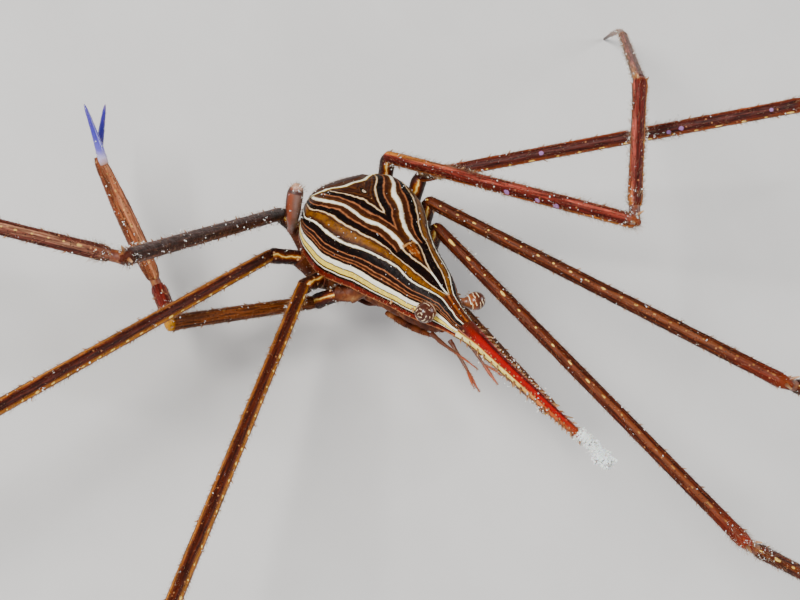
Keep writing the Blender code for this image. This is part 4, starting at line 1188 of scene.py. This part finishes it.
def bristles(sheaf, limb, rng, count, low, lengths, lean, width=0.018, edges=False):
    """Setae on a feeler, all round or along its two edges."""
    s = rng.uniform(low, 0.99, count)
    if edges:
        phi = rng.choice([-1.57, 1.57], count) + rng.normal(0, 0.3, count)
    else:
        phi = rng.uniform(-math.pi, math.pi, count)
    at, out, along = limb.spots(s, phi)
    hairs(sheaf, at, out + along * lean, along * 0.3, rng.uniform(*lengths, count), width, slot=1)


def feelers(side, sign):
    rng = np.random.default_rng(82)
    sheaf = Sheaf()
    stem = feeler(sign, ((23.4, 0.85, 0.2), (25.2, 1.1, -0.1), (27.2, 1.2, -0.7),
                         (28.6, 1.3, -1.2), (30.6, 1.4, -1.8)),
                  [0.32, 0.24, 0.19, 0.20, 0.07], 110, 28, 80, (0.12, 9.0, 6))
    stem.into(sheaf)
    twig = feeler(sign, ((27.7, 1.25, -0.85), (29.2, 1.9, -0.9), (30.4, 2.2, -1.1)),
                  [0.16, 0.13, 0.05], 50, 20, 81, (0.0, 1.0, 1))
    twig.into(sheaf, span=(0.55, 1.0))
    bristles(sheaf, stem, rng, 130, 0.45, (0.15, 0.35), 0.8)
    bristles(sheaf, twig, rng, 50, 0.45, (0.15, 0.3), 0.8)
    sheaf.make("antennule_%s_skin" % side, [FEELER_PAINT, SETA_PAINT], "feeler",
               ["antennule_" + side])
    sheaf = Sheaf()
    stem = feeler(sign, ((21.2, 1.9, -0.1), (23.4, 2.15, 0.4), (25.6, 2.2, 0.9),
                         (27.8, 2.1, 1.3), (30.0, 2.0, 1.6)),
                  [0.34, 0.26, 0.17, 0.11, 0.05], 110, 24, 83, (0.14, 13.0, 8))
    stem.into(sheaf)
    bristles(sheaf, stem, rng, 160, 0.1, (0.12, 0.5), 0.9)
    sheaf.make("antenna_%s_skin" % side, [FEELER_PAINT, SETA_PAINT], "feeler", ["antenna_" + side])
    sheaf = Sheaf()
    stem = feeler(sign, ((12.4, 1.15, -4.2), (15.0, 1.15, -3.4), (17.8, 1.05, -2.5),
                         (20.2, 0.9, -1.6)),
                  [0.38, 0.50, 0.44, 0.25], 110, 36, 84, (0.16, 8.4, 10),
                  facing=turned((0, 0, -1.0)), flat=-0.22)
    stem.into(sheaf)
    bristles(sheaf, stem, rng, 260, 0.05, (0.15, 0.5), 0.7, 0.02, True)
    sheaf.make("maxilliped_%s_skin" % side, [UNDER_PAINT, SETA_PAINT], "underside",
               ["maxilliped_" + side])


# Limbs
def mirrored(point, side):
    return np.array(point) * (1, 1 if side == "L" else -1, 1)


def start_offset(back, onward, ball, radius):
    """How far past a joint the next part starts, to clear the part before it."""
    cosine = float(np.clip(back @ onward, -1.0, 1.0))
    if cosine > 0.0:
        return (ball + GAP + radius * cosine) / math.sqrt(1.0 - cosine * cosine)
    return ball + GAP


def dactyl_path(start, azimuth, first, last, length):
    steps = 6
    points = [start]
    for i in range(steps):
        elevation = first + (last - first) * ((i + 0.5) / steps) ** 1.3
        points.append(points[-1] + heading(azimuth, elevation) * (length / steps))
    return points


def settle(wrist, azimuth, last, shank, claw_length):
    """Slope of a propodus that sets its dactyl on the floor."""
    low = last
    high = 30.0
    for _ in range(50):
        slope = 0.5 * (low + high)
        ankle = wrist + heading(azimuth, slope) * shank
        if dactyl_path(ankle, azimuth, slope, last, claw_length)[-1][2] > 0.0:
            high = slope
        else:
            low = slope
    return slope


def thorn_rows(sheaf, limb, slot, rng, spacing, tall, angles, wide=0.1):
    """Rows of small forward thorns along a limb."""
    for angle in angles:
        count = max(2, int(limb.length * 0.92 / spacing))
        s = np.linspace(0.04, 0.96, count) + rng.uniform(-0.3, 0.3, count) / count
        at, out, along = limb.spots(np.clip(s, 0.01, 0.99), angle + rng.normal(0, 0.08, count))
        size = tall * rng.uniform(0.55, 1.2, count)
        hairs(sheaf, at - out * 0.12, out + along * 0.75, along * 0.2, size + 0.12,
              wide * (0.6 + 0.6 * size / tall), sides=7, slot=slot, cuts=(0.0, 0.3, 0.6, 0.85))


class Coat:
    """Setae and clinging white crumbs of one limb."""

    def __init__(self, seed):
        self.sheaf = Sheaf()
        self.rng = np.random.default_rng(seed)
        self.tiles = 0

    def patches(self, s, phi):
        """Places on an unwrap, where each stretch of limb has a tile of its own."""
        return np.stack([(self.tiles + s) / 8.0, (phi / TAU) % 1.0], -1) * 0.99

    def dress(self, limb, density, tall, crumb=0.6, low=0.0, high=1.0, edges=1.4, spread=0.55):
        """Setae and crumbs per millimetre, mostly along the two edges."""
        rng = self.rng
        length = limb.length * (high - low)
        k = int(length * density * SETA_SHARE)
        s = np.clip(rng.uniform(low, high, k), 0.003, 0.997)
        side = rng.choice([-1.0, 1.0], k)
        phi = side * (edges + rng.normal(0, spread, k))
        anywhere = rng.uniform(0, 1, k) < 0.45
        phi = np.where(anywhere, rng.uniform(-math.pi, math.pi, k), phi)
        at, out, along = limb.spots(s, phi)
        size = tall * rng.uniform(0.25, 1.05, k) ** 1.3
        way = out + along * rng.uniform(0.1, 1.1, k)[:, None] + rng.normal(0, 0.25, (k, 3))
        hairs(self.sheaf, at - out * 0.03, way, along * 0.35 + rng.normal(0, 0.12, (k, 3)), size,
              0.017, self.patches(s, phi))
        k = int(length * crumb * CRUMB_SHARE)
        s = np.clip(rng.uniform(low, high, k), 0.003, 0.997)
        phi = rng.choice([-1.0, 1.0], k) * (edges + rng.normal(0, spread, k))
        at, out, along = limb.spots(s, phi)
        where = at + out * (rng.uniform(0.02, 0.45, k) * tall / 0.6)[:, None]
        bake = self.patches(s, phi)
        grain = 0.028 + 0.075 * rng.uniform(0.0, 1.0, k) ** 2.5
        crumbs(self.sheaf, where, grain, rng, bake, slot=1)
        # Smaller grains beside about half of them
        for _ in range(2):
            pick = rng.uniform(0, 1, k) < 0.55
            shift = rng.normal(0, 0.1, (k, 3))
            crumbs(self.sheaf, (where + shift)[pick], grain[pick] * 0.7, rng, bake[pick], slot=1)
        self.tiles += 1

    def make(self, name, slot_name):
        self.sheaf.make(name, [SETA_PAINT, CRUMB_PAINT], slot_name, extra="OFBake")


def root_parts(sheaf, coat, hip, side, number, seed):
    """Coxa and ischium of a limb, with their collars."""
    coxa, bend = (world(mirrored(p, side)) for p in ROOTS[side, number][:2])
    first = unit(bend - coxa)
    second = unit(hip - bend)
    limb = Limb([coxa - first * 0.2, 0.5 * (coxa + bend), bend + first * 0.35],
                [(0.0, 0.96), (0.2, 1.04), (0.7, 1.0), (0.9, 1.06), (1.0, 0.72)], 60, 40, seed=seed)
    limb.into(sheaf, 0, (0.0, 0.5))
    coat.dress(limb, 9, 0.5, 0.8)
    limb = Limb([bend - second * 0.45, 0.5 * (bend + hip), hip + second * 0.3],
                [(0.0, 0.62), (0.12, 0.92), (0.5, 0.93), (0.85, 0.98), (1.0, 0.6)], 70, 40,
                seed=seed + 1)
    limb.into(sheaf, 1)
    coat.dress(limb, 10, 0.5, 1.0)


def end_spines(sheaf, limb, slot, knee, radius, length=0.8):
    """Pair of spines over the end of a part."""
    onward = limb.along[-1]
    rise = unit(np.cross(np.cross(onward, (0.0, 0.0, 1.0)), onward))
    across = np.cross(onward, rise)
    lean = unit(rise + np.stack([across, -across]))
    hairs(sheaf, knee + lean * (radius * 0.55), lean + onward * 0.9, onward * 0.15,
          np.full(2, radius * 0.5 + length), 0.27, sides=10, slot=slot,
          cuts=(0.0, 0.2, 0.45, 0.7, 0.9))


def next_part(before, joint, end, ball, neck, past, profile, counts, seed, onward=None,
              into=0.6, under=0.12, **shape):
    """Leathery neck at a joint, added in slot 1, and the part beyond it, which the caller adds in slot
    0.
    """
    if onward is None:
        onward = unit(end - joint)
    first = joint + onward * start_offset(unit(before - joint), onward, ball, neck[0])
    sheaf = Sheaf()
    Limb([joint + onward * 0.1, first + onward * into], neck[1:], *counts[:2],
         seed=seed).into(sheaf, 1)
    limb = Limb([first - onward * under, end + onward * past], profile, *counts[2:],
                seed=seed + 1, **shape)
    return sheaf, limb


# Radii of the parts of a leg, at shares of their length
MERUS_SHAPE = ((0.0, 0.45), (0.012, 0.78), (0.05, 0.84), (0.3, 0.88), (0.7, 0.93), (0.93, 0.94),
               (0.962, 0.99), (0.980, 0.82), (1.0, 0.32))
CARPUS_SHAPE = ((0.0, 0.5), (0.03, 0.80), (0.08, 0.94), (0.3, 0.9), (0.8, 0.88), (0.93, 1.0),
                (0.972, 0.84), (1.0, 0.35))
PROPODUS_SHAPE = ((0.0, 0.4), (0.012, 0.62), (0.03, 0.76), (0.1, 0.7), (0.6, 0.6), (0.95, 0.52),
                  (0.98, 0.60), (0.992, 0.5), (1.0, 0.25))
DACTYL_SHAPE = ((0.0, 0.3), (0.03, 0.42), (0.1, 0.46), (0.5, 0.35), (0.85, 0.23), (0.97, 0.2),
                (1.0, 0.17))
# Places along a merus where crumbs gather: from, to, setae and crumbs per mm
CLUSTERS = {"L5": ((0.02, 0.93, 12, 3.0), (0.94, 1.0, 30, 20)),
            "L4": ((0.56, 0.68, 12, 7), (0.93, 1.0, 10, 3)),
            "L2": ((0.93, 1.0, 20, 5),), "R4": ((0.1, 0.93, 1, 0.6), (0.94, 1.0, 12, 6))}


def leg(side, number, pose):
    label = "%s%d" % (side, number)
    node = "leg_%s_" % label
    seed = 100 + number * 10 + (0 if side == "L" else 5)
    rng = np.random.default_rng(seed)
    paint = LIMB_PAINTS["leg_" + label]
    far_paints = [LIMB_PAINTS.get("leg_%s_far" % label, paint), MEMBRANE_PAINT, SPINE_PAINT]
    coat = Coat(seed)

    def finish(sheaf, name, paints):
        sheaf.make(node + name + "_skin", paints, "limb", [node + name])

    hip = world(mirrored(ROOTS[side, number][2], side))
    knee = hip + heading(*pose[:2]) * MERUS[number]
    sheaf = Sheaf()
    root_parts(sheaf, coat, hip, side, number, seed)
    onward = unit(knee - hip)
    limb = Limb([hip - onward * 0.5, knee + onward * 0.8], MERUS_SHAPE, 260, 40, flat=0.04,
                keel=0.05, seed=seed)
    limb.into(sheaf, 2)
    thorn_rows(sheaf, limb, 3, rng, 3.1, 0.42, (-1.35, 1.35, 2.6))
    end_spines(sheaf, limb, 3, knee, 1.0)
    finish(sheaf, "merus", [UNDER_PAINT, ISCHIUM_PAINT, paint, SPINE_PAINT])
    coat.dress(limb, 5 if label == "R4" else 14, 0.6, 1.3)
    for low, high, fuzz, crumb in CLUSTERS.get(label, ()):
        coat.dress(limb, fuzz, 0.9, crumb, low, high, 1.3, 0.9)
    # Carpus, waisted where it meets the knee
    wrist = knee + heading(*pose[2:4]) * CARPUS[number]
    sheaf, limb = next_part(hip, knee, wrist, 1.04, (0.73, 0.72, 0.66), 0.72, CARPUS_SHAPE,
                            (24, 28, 130, 40), seed + 2, flat=0.04, keel=0.05)
    limb.into(sheaf, 0, (0.1, 1.0))
    thorn_rows(sheaf, limb, 2, rng, 2.8, 0.4, (-1.2, 1.5))
    end_spines(sheaf, limb, 2, wrist, 0.86, 0.4)
    finish(sheaf, "carpus", far_paints)
    coat.dress(limb, 15, 0.6, 1.4)
    if label in CLUSTERS:
        coat.dress(limb, 22, 0.8, 9, 0.0, 0.14, 1.3, 1.1)
    if label == "L5":
        coat.dress(limb, 10, 0.7, 5, 0.0, 0.8, 1.4, 0.35)
    # Propodus
    slope = settle(wrist, *pose[4:], PROPODUS[number], DACTYL[number])
    ankle = wrist + heading(pose[4], slope) * PROPODUS[number]
    sheaf, limb = next_part(knee, wrist, ankle, 0.9, (0.56, 0.6, 0.54), 0.42, PROPODUS_SHAPE,
                            (24, 28, 230, 36), seed + 4, flat=0.03, keel=0.04)
    limb.into(sheaf)
    thorn_rows(sheaf, limb, 2, rng, 3.0, 0.36, (2.7, 3.4), 0.08)
    finish(sheaf, "propodus", far_paints)
    coat.dress(limb, 13, 0.55, 0.9)
    # Dactylus, curved down to its small flat foot
    path = dactyl_path(ankle, pose[4], slope, pose[5], DACTYL[number])
    path[-1][2] = FOOT_LIFT
    onward = unit(path[1] - ankle)
    path[0] = ankle + onward * 0.62
    sheaf = Sheaf()
    Limb([ankle + onward * 0.1, path[0] + onward * 0.5], [0.4, 0.36], 16, 24,
         seed=seed + 6).into(sheaf, 1)
    limb = Limb(path, DACTYL_SHAPE, 130, 30, seed=seed + 7, rough=0.006)
    limb.into(sheaf)
    thorn_rows(sheaf, limb, 2, rng, 1.5, 0.26, (2.7, 3.4), 0.06)
    finish(sheaf, "dactylus", [DACTYL_PAINT, MEMBRANE_PAINT, SPINE_PAINT])
    coat.dress(limb, 12, 0.4, 0.4, high=0.8)
    coat.make(node + "setae", "limb")


def curved(start, azimuth, elevation, length, curl):
    steps = 5
    points = [start]
    for i in range(steps):
        points.append(points[-1] + heading(azimuth, elevation + curl * i / steps) * length / steps)
    return points


def teeth(sheaf, finger, slot, size, width):
    """Teeth on the biting edge of a finger."""
    at, out, along = finger.spots(np.linspace(0.28, 0.86, 11), np.full(11, math.pi))
    hairs(sheaf, at - out * 0.05, out, along * 0.1, np.full(11, size), width, sides=6,
          slot=slot)


def claw(side):
    merus_pose, carpus_pose, palm_pose, fixed_pose, moving_pose = CLAWS[side]
    node = "claw_%s_" % side
    seed = 300 if side == "L" else 320
    rng = np.random.default_rng(seed)
    coat = Coat(seed)

    def finish(sheaf, name, paints, slot_name="claw"):
        sheaf.make(node + name + "_skin", paints, slot_name, [node + name])

    hip = world(mirrored(ROOTS[side, 1][2], side))
    elbow = hip + heading(*merus_pose[:2]) * merus_pose[2]
    sheaf = Sheaf()
    root_parts(sheaf, coat, hip, side, 1, seed)
    onward = unit(elbow - hip)
    limb = Limb([hip - onward * 0.5, elbow + onward * 0.85],
                [(0.0, 0.5), (0.02, 0.78), (0.1, 0.86), (0.5, 0.92), (0.9, 0.98), (0.95, 1.08),
                 (0.985, 0.96), (1.0, 0.5)], 150, 40, flat=0.03, keel=0.03, seed=seed)
    limb.into(sheaf, 2)
    thorn_rows(sheaf, limb, 3, rng, 1.6, 0.34, (-1.35, 1.35, 2.4))
    end_spines(sheaf, limb, 3, elbow, 0.95, 0.5)
    finish(sheaf, "merus", [UNDER_PAINT, ISCHIUM_PAINT, LIMB_PAINTS["claw"], SPINE_PAINT])
    coat.dress(limb, 22 if side == "R" else 8, 0.35, 1.2 if side == "R" else 0.2)
    wrist = elbow + heading(*carpus_pose[:2]) * carpus_pose[2]
    sheaf, limb = next_part(hip, elbow, wrist, 1.02, (0.8, 0.7, 0.66), 0.85,
                            [(0.0, 0.55), (0.08, 0.84), (0.25, 1.0), (0.7, 1.02), (0.88, 0.9),
                             (1.0, 0.5)], (20, 28, 70, 40), seed + 2, into=0.5, flat=0.03)
    limb.into(sheaf)
    thorn_rows(sheaf, limb, 2, rng, 1.2, 0.3, (-1.2, 1.2, 0.2))
    finish(sheaf, "carpus", [LIMB_PAINTS["claw_wrist"], MEMBRANE_PAINT, SPINE_PAINT])
    coat.dress(limb, 20, 0.35, 1.5)
    # Palm with its fixed finger
    onward = heading(*palm_pose[:2])
    end = wrist + onward * palm_pose[2]

    def finger_base(pose, back, out):
        """Side of the palm that a finger stands on, and its root."""
        away = heading(*pose[:2])
        spread = unit(away - onward * (away @ onward))
        return spread, end + onward * back + spread * out

    spread, root = finger_base(fixed_pose, -0.9, 0.42)
    sheaf, palm = next_part(elbow, wrist, end, 0.98, (0.7, 0.66, 0.62), 0.2,
                            [(0.0, 0.5), (0.03, 0.8), (0.1, 0.98), (0.3, 1.12), (0.55, 1.10),
                             (0.8, 0.90), (0.94, 0.76), (1.0, 0.5)], (20, 28, 150, 44), seed + 4,
                            onward, 0.5, 0.1, facing=spread, flat=0.05)
    palm.into(sheaf)
    fixed = Limb(curved(root, *fixed_pose[:2], fixed_pose[2] + 0.3, -14.0),
                 [(0.0, 0.56), (0.15, 0.54), (0.6, 0.34), (0.92, 0.18), (1.0, 0.05)], 100, 30,
                 spread, flat=-0.08, seed=seed + 6, rough=0.006)
    fixed.into(sheaf, 3)
    thorn_rows(sheaf, palm, 2, rng, 1.5, 0.2, (-1.4, 1.4, 0.0, 3.0))
    teeth(sheaf, fixed, 4, 0.17, 0.08)
    finish(sheaf, "palm", [LIMB_PAINTS["palm"], MEMBRANE_PAINT, SPINE_PAINT, FIXED_PAINT,
                           MOVING_PAINT])
    coat.dress(palm, 24, 0.32, 0.9)
    # Just under 8 on the left, where the count would hang on the last digit of the length
    coat.dress(fixed, 8 if side == "R" else 7.99, 0.25, 0.4, low=0.1)
    # Moving finger
    spread, root = finger_base(moving_pose, 0.5, 0.45)
    points = curved(root, *moving_pose[:2], moving_pose[2] + 0.6, 10.0)
    sheaf = Sheaf()
    moving = Limb(points, [(0.0, 0.34), (0.1, 0.46), (0.3, 0.42), (0.7, 0.28), (0.93, 0.16),
                           (1.0, 0.05)], 100, 30, spread, flat=-0.06, seed=seed + 8, rough=0.006)
    moving.into(sheaf)
    Limb([end - onward * 0.2 + spread * 0.4, root + unit(points[1] - points[0]) * 0.4],
         [0.46, 0.36], 16, 24, seed=seed + 9).into(sheaf, 1)
    teeth(sheaf, moving, 0, 0.15, 0.07)
    finish(sheaf, "finger", [MOVING_PAINT, MEMBRANE_PAINT], "finger")
    coat.dress(moving, 8, 0.22, 0.3, low=0.1)
    coat.make(node + "setae", "claw")


def stump():
    path = [(-1.6, -6.8, 0.1), (-0.65, -7.8, 3.6), (-1.0, -7.75, 5.9), (-1.6, -7.15, 7.75)]
    sheaf = Sheaf()
    limb = Limb(world(path), [(0.0, 0.45), (0.2, 0.50), (0.42, 0.70), (0.62, 0.86), (0.8, 0.90),
                              (0.94, 0.72), (1.0, 0.28)], 110, 48, flat=-0.12, seed=400)
    limb.into(sheaf)
    sheaf.make("stump_skin", [STUMP_PAINT], "limb", ["leg_R5_stump"])
    coat = Coat(401)
    coat.dress(limb, 10, 0.5, 1.2, low=0.15)
    coat.dress(limb, 24, 0.8, 14.0, low=0.9, edges=0.4, spread=1.4)
    coat.make("stump_setae", "limb")


def shell_coat(points):
    """Setae on the rear rim and margins, and a few stray crumbs on the shell."""
    rng = np.random.default_rng(500)
    coat = Sheaf()
    size = points.shape[:2]
    normal = unit(np.cross(np.gradient(points, axis=1), np.gradient(points, axis=0)))
    if normal[size[0] // 2, SHELL_HALF // 2] @ turned((0, 0, 1.0)) < 0:
        normal = -normal
    ahead = turned((1.0, 0.0, 0.05))
    # Groups of rows and columns of the shell, with their lean and length
    groups = [(rng.integers(0, 14, 260), rng.integers(4, 196, 260), -0.9, 0.35)]
    k = 800
    rows = rng.integers(14, 230, k)
    left = rng.uniform(0, 1, k) < 0.5
    groups.append((rows, np.where(left, rng.integers(0, 10, k), rng.integers(190, 201, k)),
                   0.5, 0.4))
    groups.append((rng.integers(60, 285, 420), rng.integers(12, 188, 420), 0.6, 0.28))
    for rows, cols, lean, tall in groups:
        k = len(rows)
        out = normal[rows, cols]
        hairs(coat, points[rows, cols] - out * 0.03,
              out + ahead * lean + rng.normal(0, 0.25, (k, 3)), rng.normal(0, 0.15, (k, 3)),
              tall * rng.uniform(0.4, 1.2, k), 0.02, np.stack([rows, cols], -1) / size * 0.98)
    k = 130
    rows = rng.integers(2, 285, k)
    cols = rng.integers(5, 196, k)
    at = points[rows, cols] + normal[rows, cols] * rng.uniform(0.0, 0.12, (k, 1))
    crumbs(coat, at, rng.uniform(0.03, 0.085, k), rng, np.stack([rows, cols], -1) / size * 0.98,
           slot=1)
    coat.make("shell_setae", [SETA_PAINT, CRUMB_PAINT], "carapace", extra="OFBake")


def rostrum_coat():
    rng = np.random.default_rng(510)
    coat = Sheaf()
    k = 1150
    x = 46.8 - 22.6 * rng.uniform(0, 1, k) ** 1.25
    t = np.where(rng.uniform(0, 1, k) < 0.7,
                 rng.choice([0.3, math.pi - 0.3, 4.0, 5.4], k) + rng.normal(0, 0.3, k),
                 rng.uniform(0, TAU, k))
    top, half, mid, low, _ = columns(SHELL, x)
    c = np.cos(t)
    s = np.sin(t)
    at = np.stack([x, half * c, mid + np.where(s > 0, top - mid, low) * s], -1)
    out = np.stack([np.zeros(k), c, s], -1)
    bake = np.stack([(x - 23.0) / 24.0, (t / TAU) % 1.0], -1) * 0.98
    way = (out + np.array([1.0, 0.0, 0.08]) * rng.uniform(0.1, 1.0, (k, 1))
           + rng.normal(0, 0.2, (k, 3)))
    hairs(coat, world(at - out * 0.03), way @ TURN_ROWS.T, rng.normal(0, 0.15, (k, 3)),
          rng.uniform(0.15, 0.6, k), 0.016, bake)
    pick = rng.choice(k, 420, replace=False)
    centres = world(at[pick] + out[pick] * rng.uniform(0.05, 0.85, (420, 1)))
    sizes = rng.uniform(0.04, 0.13, 420)
    clump = ripple(at[pick], 3.5, 9) + 0.03 * (x[pick] - 40.0) > 0.0
    crumbs(coat, centres[clump], sizes[clump], rng, bake[pick][clump], slot=1)
    coat.make("rostrum_setae", [SETA_PAINT, CRUMB_PAINT], "rostrum", extra="OFBake")


# Camera, floor and light
def camera():
    d = way_body
    level = unit(np.array([1.0, 0.0, 0.0]) - d * d[0])
    side = np.cross(d, level)
    roll = math.radians(CAMERA_ROLL_DEG)
    right = math.cos(roll) * level + math.sin(roll) * side
    up = math.cos(roll) * side - math.sin(roll) * level
    # From the middle of the picture to the point that the aim falls on
    u, v = ((at - 0.5 * size) / IMAGE[0] * SENSOR / CAMERA_LENS * CAMERA_DISTANCE
            for at, size in zip(AIM_PX, IMAGE))
    place = world(np.array(AIM) - right * u + up * v + d * CAMERA_DISTANCE) * MM
    data = bpy.data.cameras.new("camera")
    data.lens = CAMERA_LENS
    data.sensor_width = SENSOR
    data.clip_start = 0.01
    data.clip_end = 20.0
    obj = bpy.data.objects.new("camera", data)
    turn = Matrix(turned([right, up, d]).T.tolist())
    obj.matrix_world = Matrix.Translation(Vector(place.tolist())) @ turn.to_4x4()
    bpy.context.scene.collection.objects.link(obj)
    bpy.context.scene.camera = obj


def floor_and_light():
    mesh = bpy.data.meshes.new("floor")
    size = 3.0
    mesh.from_pydata([(-size, -size, 0), (size, -size, 0), (size, size, 0), (-size, size, 0)], [],
                     [(0, 1, 2, 3)])
    floor = bpy.data.objects.new("floor", mesh)
    p = Paint("floor")
    p.colour = p.ramp(p.noise(p.where(), 60.0, 4.0), ((0.3, (0.60, 0.59, 0.575)),
                                                      (0.7, (0.64, 0.63, 0.615))))
    mesh.materials.append(p.finish(0.8, deep=1.0))
    bpy.context.scene.collection.objects.link(floor)
    centre = Vector((0.0, 0.0, 0.02))
    # Lamps: place, size, power and tint
    for name, at, size, power, tint in (
            ("key", (-0.35, -0.75, 0.95), 0.4, 25.0, (1.0, 0.98, 0.95)),
            ("fill", (0.9, -0.4, 0.5), 0.7, 4.5, (0.95, 0.97, 1.0)),
            ("rim", (0.1, 0.9, 0.7), 0.5, 8.0, (1.0, 1.0, 1.0))):
        data = bpy.data.lights.new(name, "AREA")
        data.energy = power
        data.size = size
        data.color = tint
        lamp = bpy.data.objects.new(name, data)
        lamp.location = at
        lamp.rotation_euler = (centre - Vector(at)).to_track_quat("-Z", "Y").to_euler()
        bpy.context.scene.collection.objects.link(lamp)
    sky = bpy.data.worlds.new("studio")
    sky.use_nodes = True
    back = sky.node_tree.nodes["Background"]
    back.inputs["Color"].default_value = (0.93, 0.95, 1.0, 1.0)
    back.inputs["Strength"].default_value = 0.3
    bpy.context.scene.world = sky


camera()
floor_and_light()
shell_points = shell()
rostrum()
growth()
underside()
abdomen()
for label, sign in (("L", 1.0), ("R", -1.0)):
    eye(label, sign)
    feelers(label, sign)
for (label, number), pose in LEGS.items():
    leg(label, number, pose)
claw("R")
claw("L")
stump()
shell_coat(shell_points)
rostrum_coat()
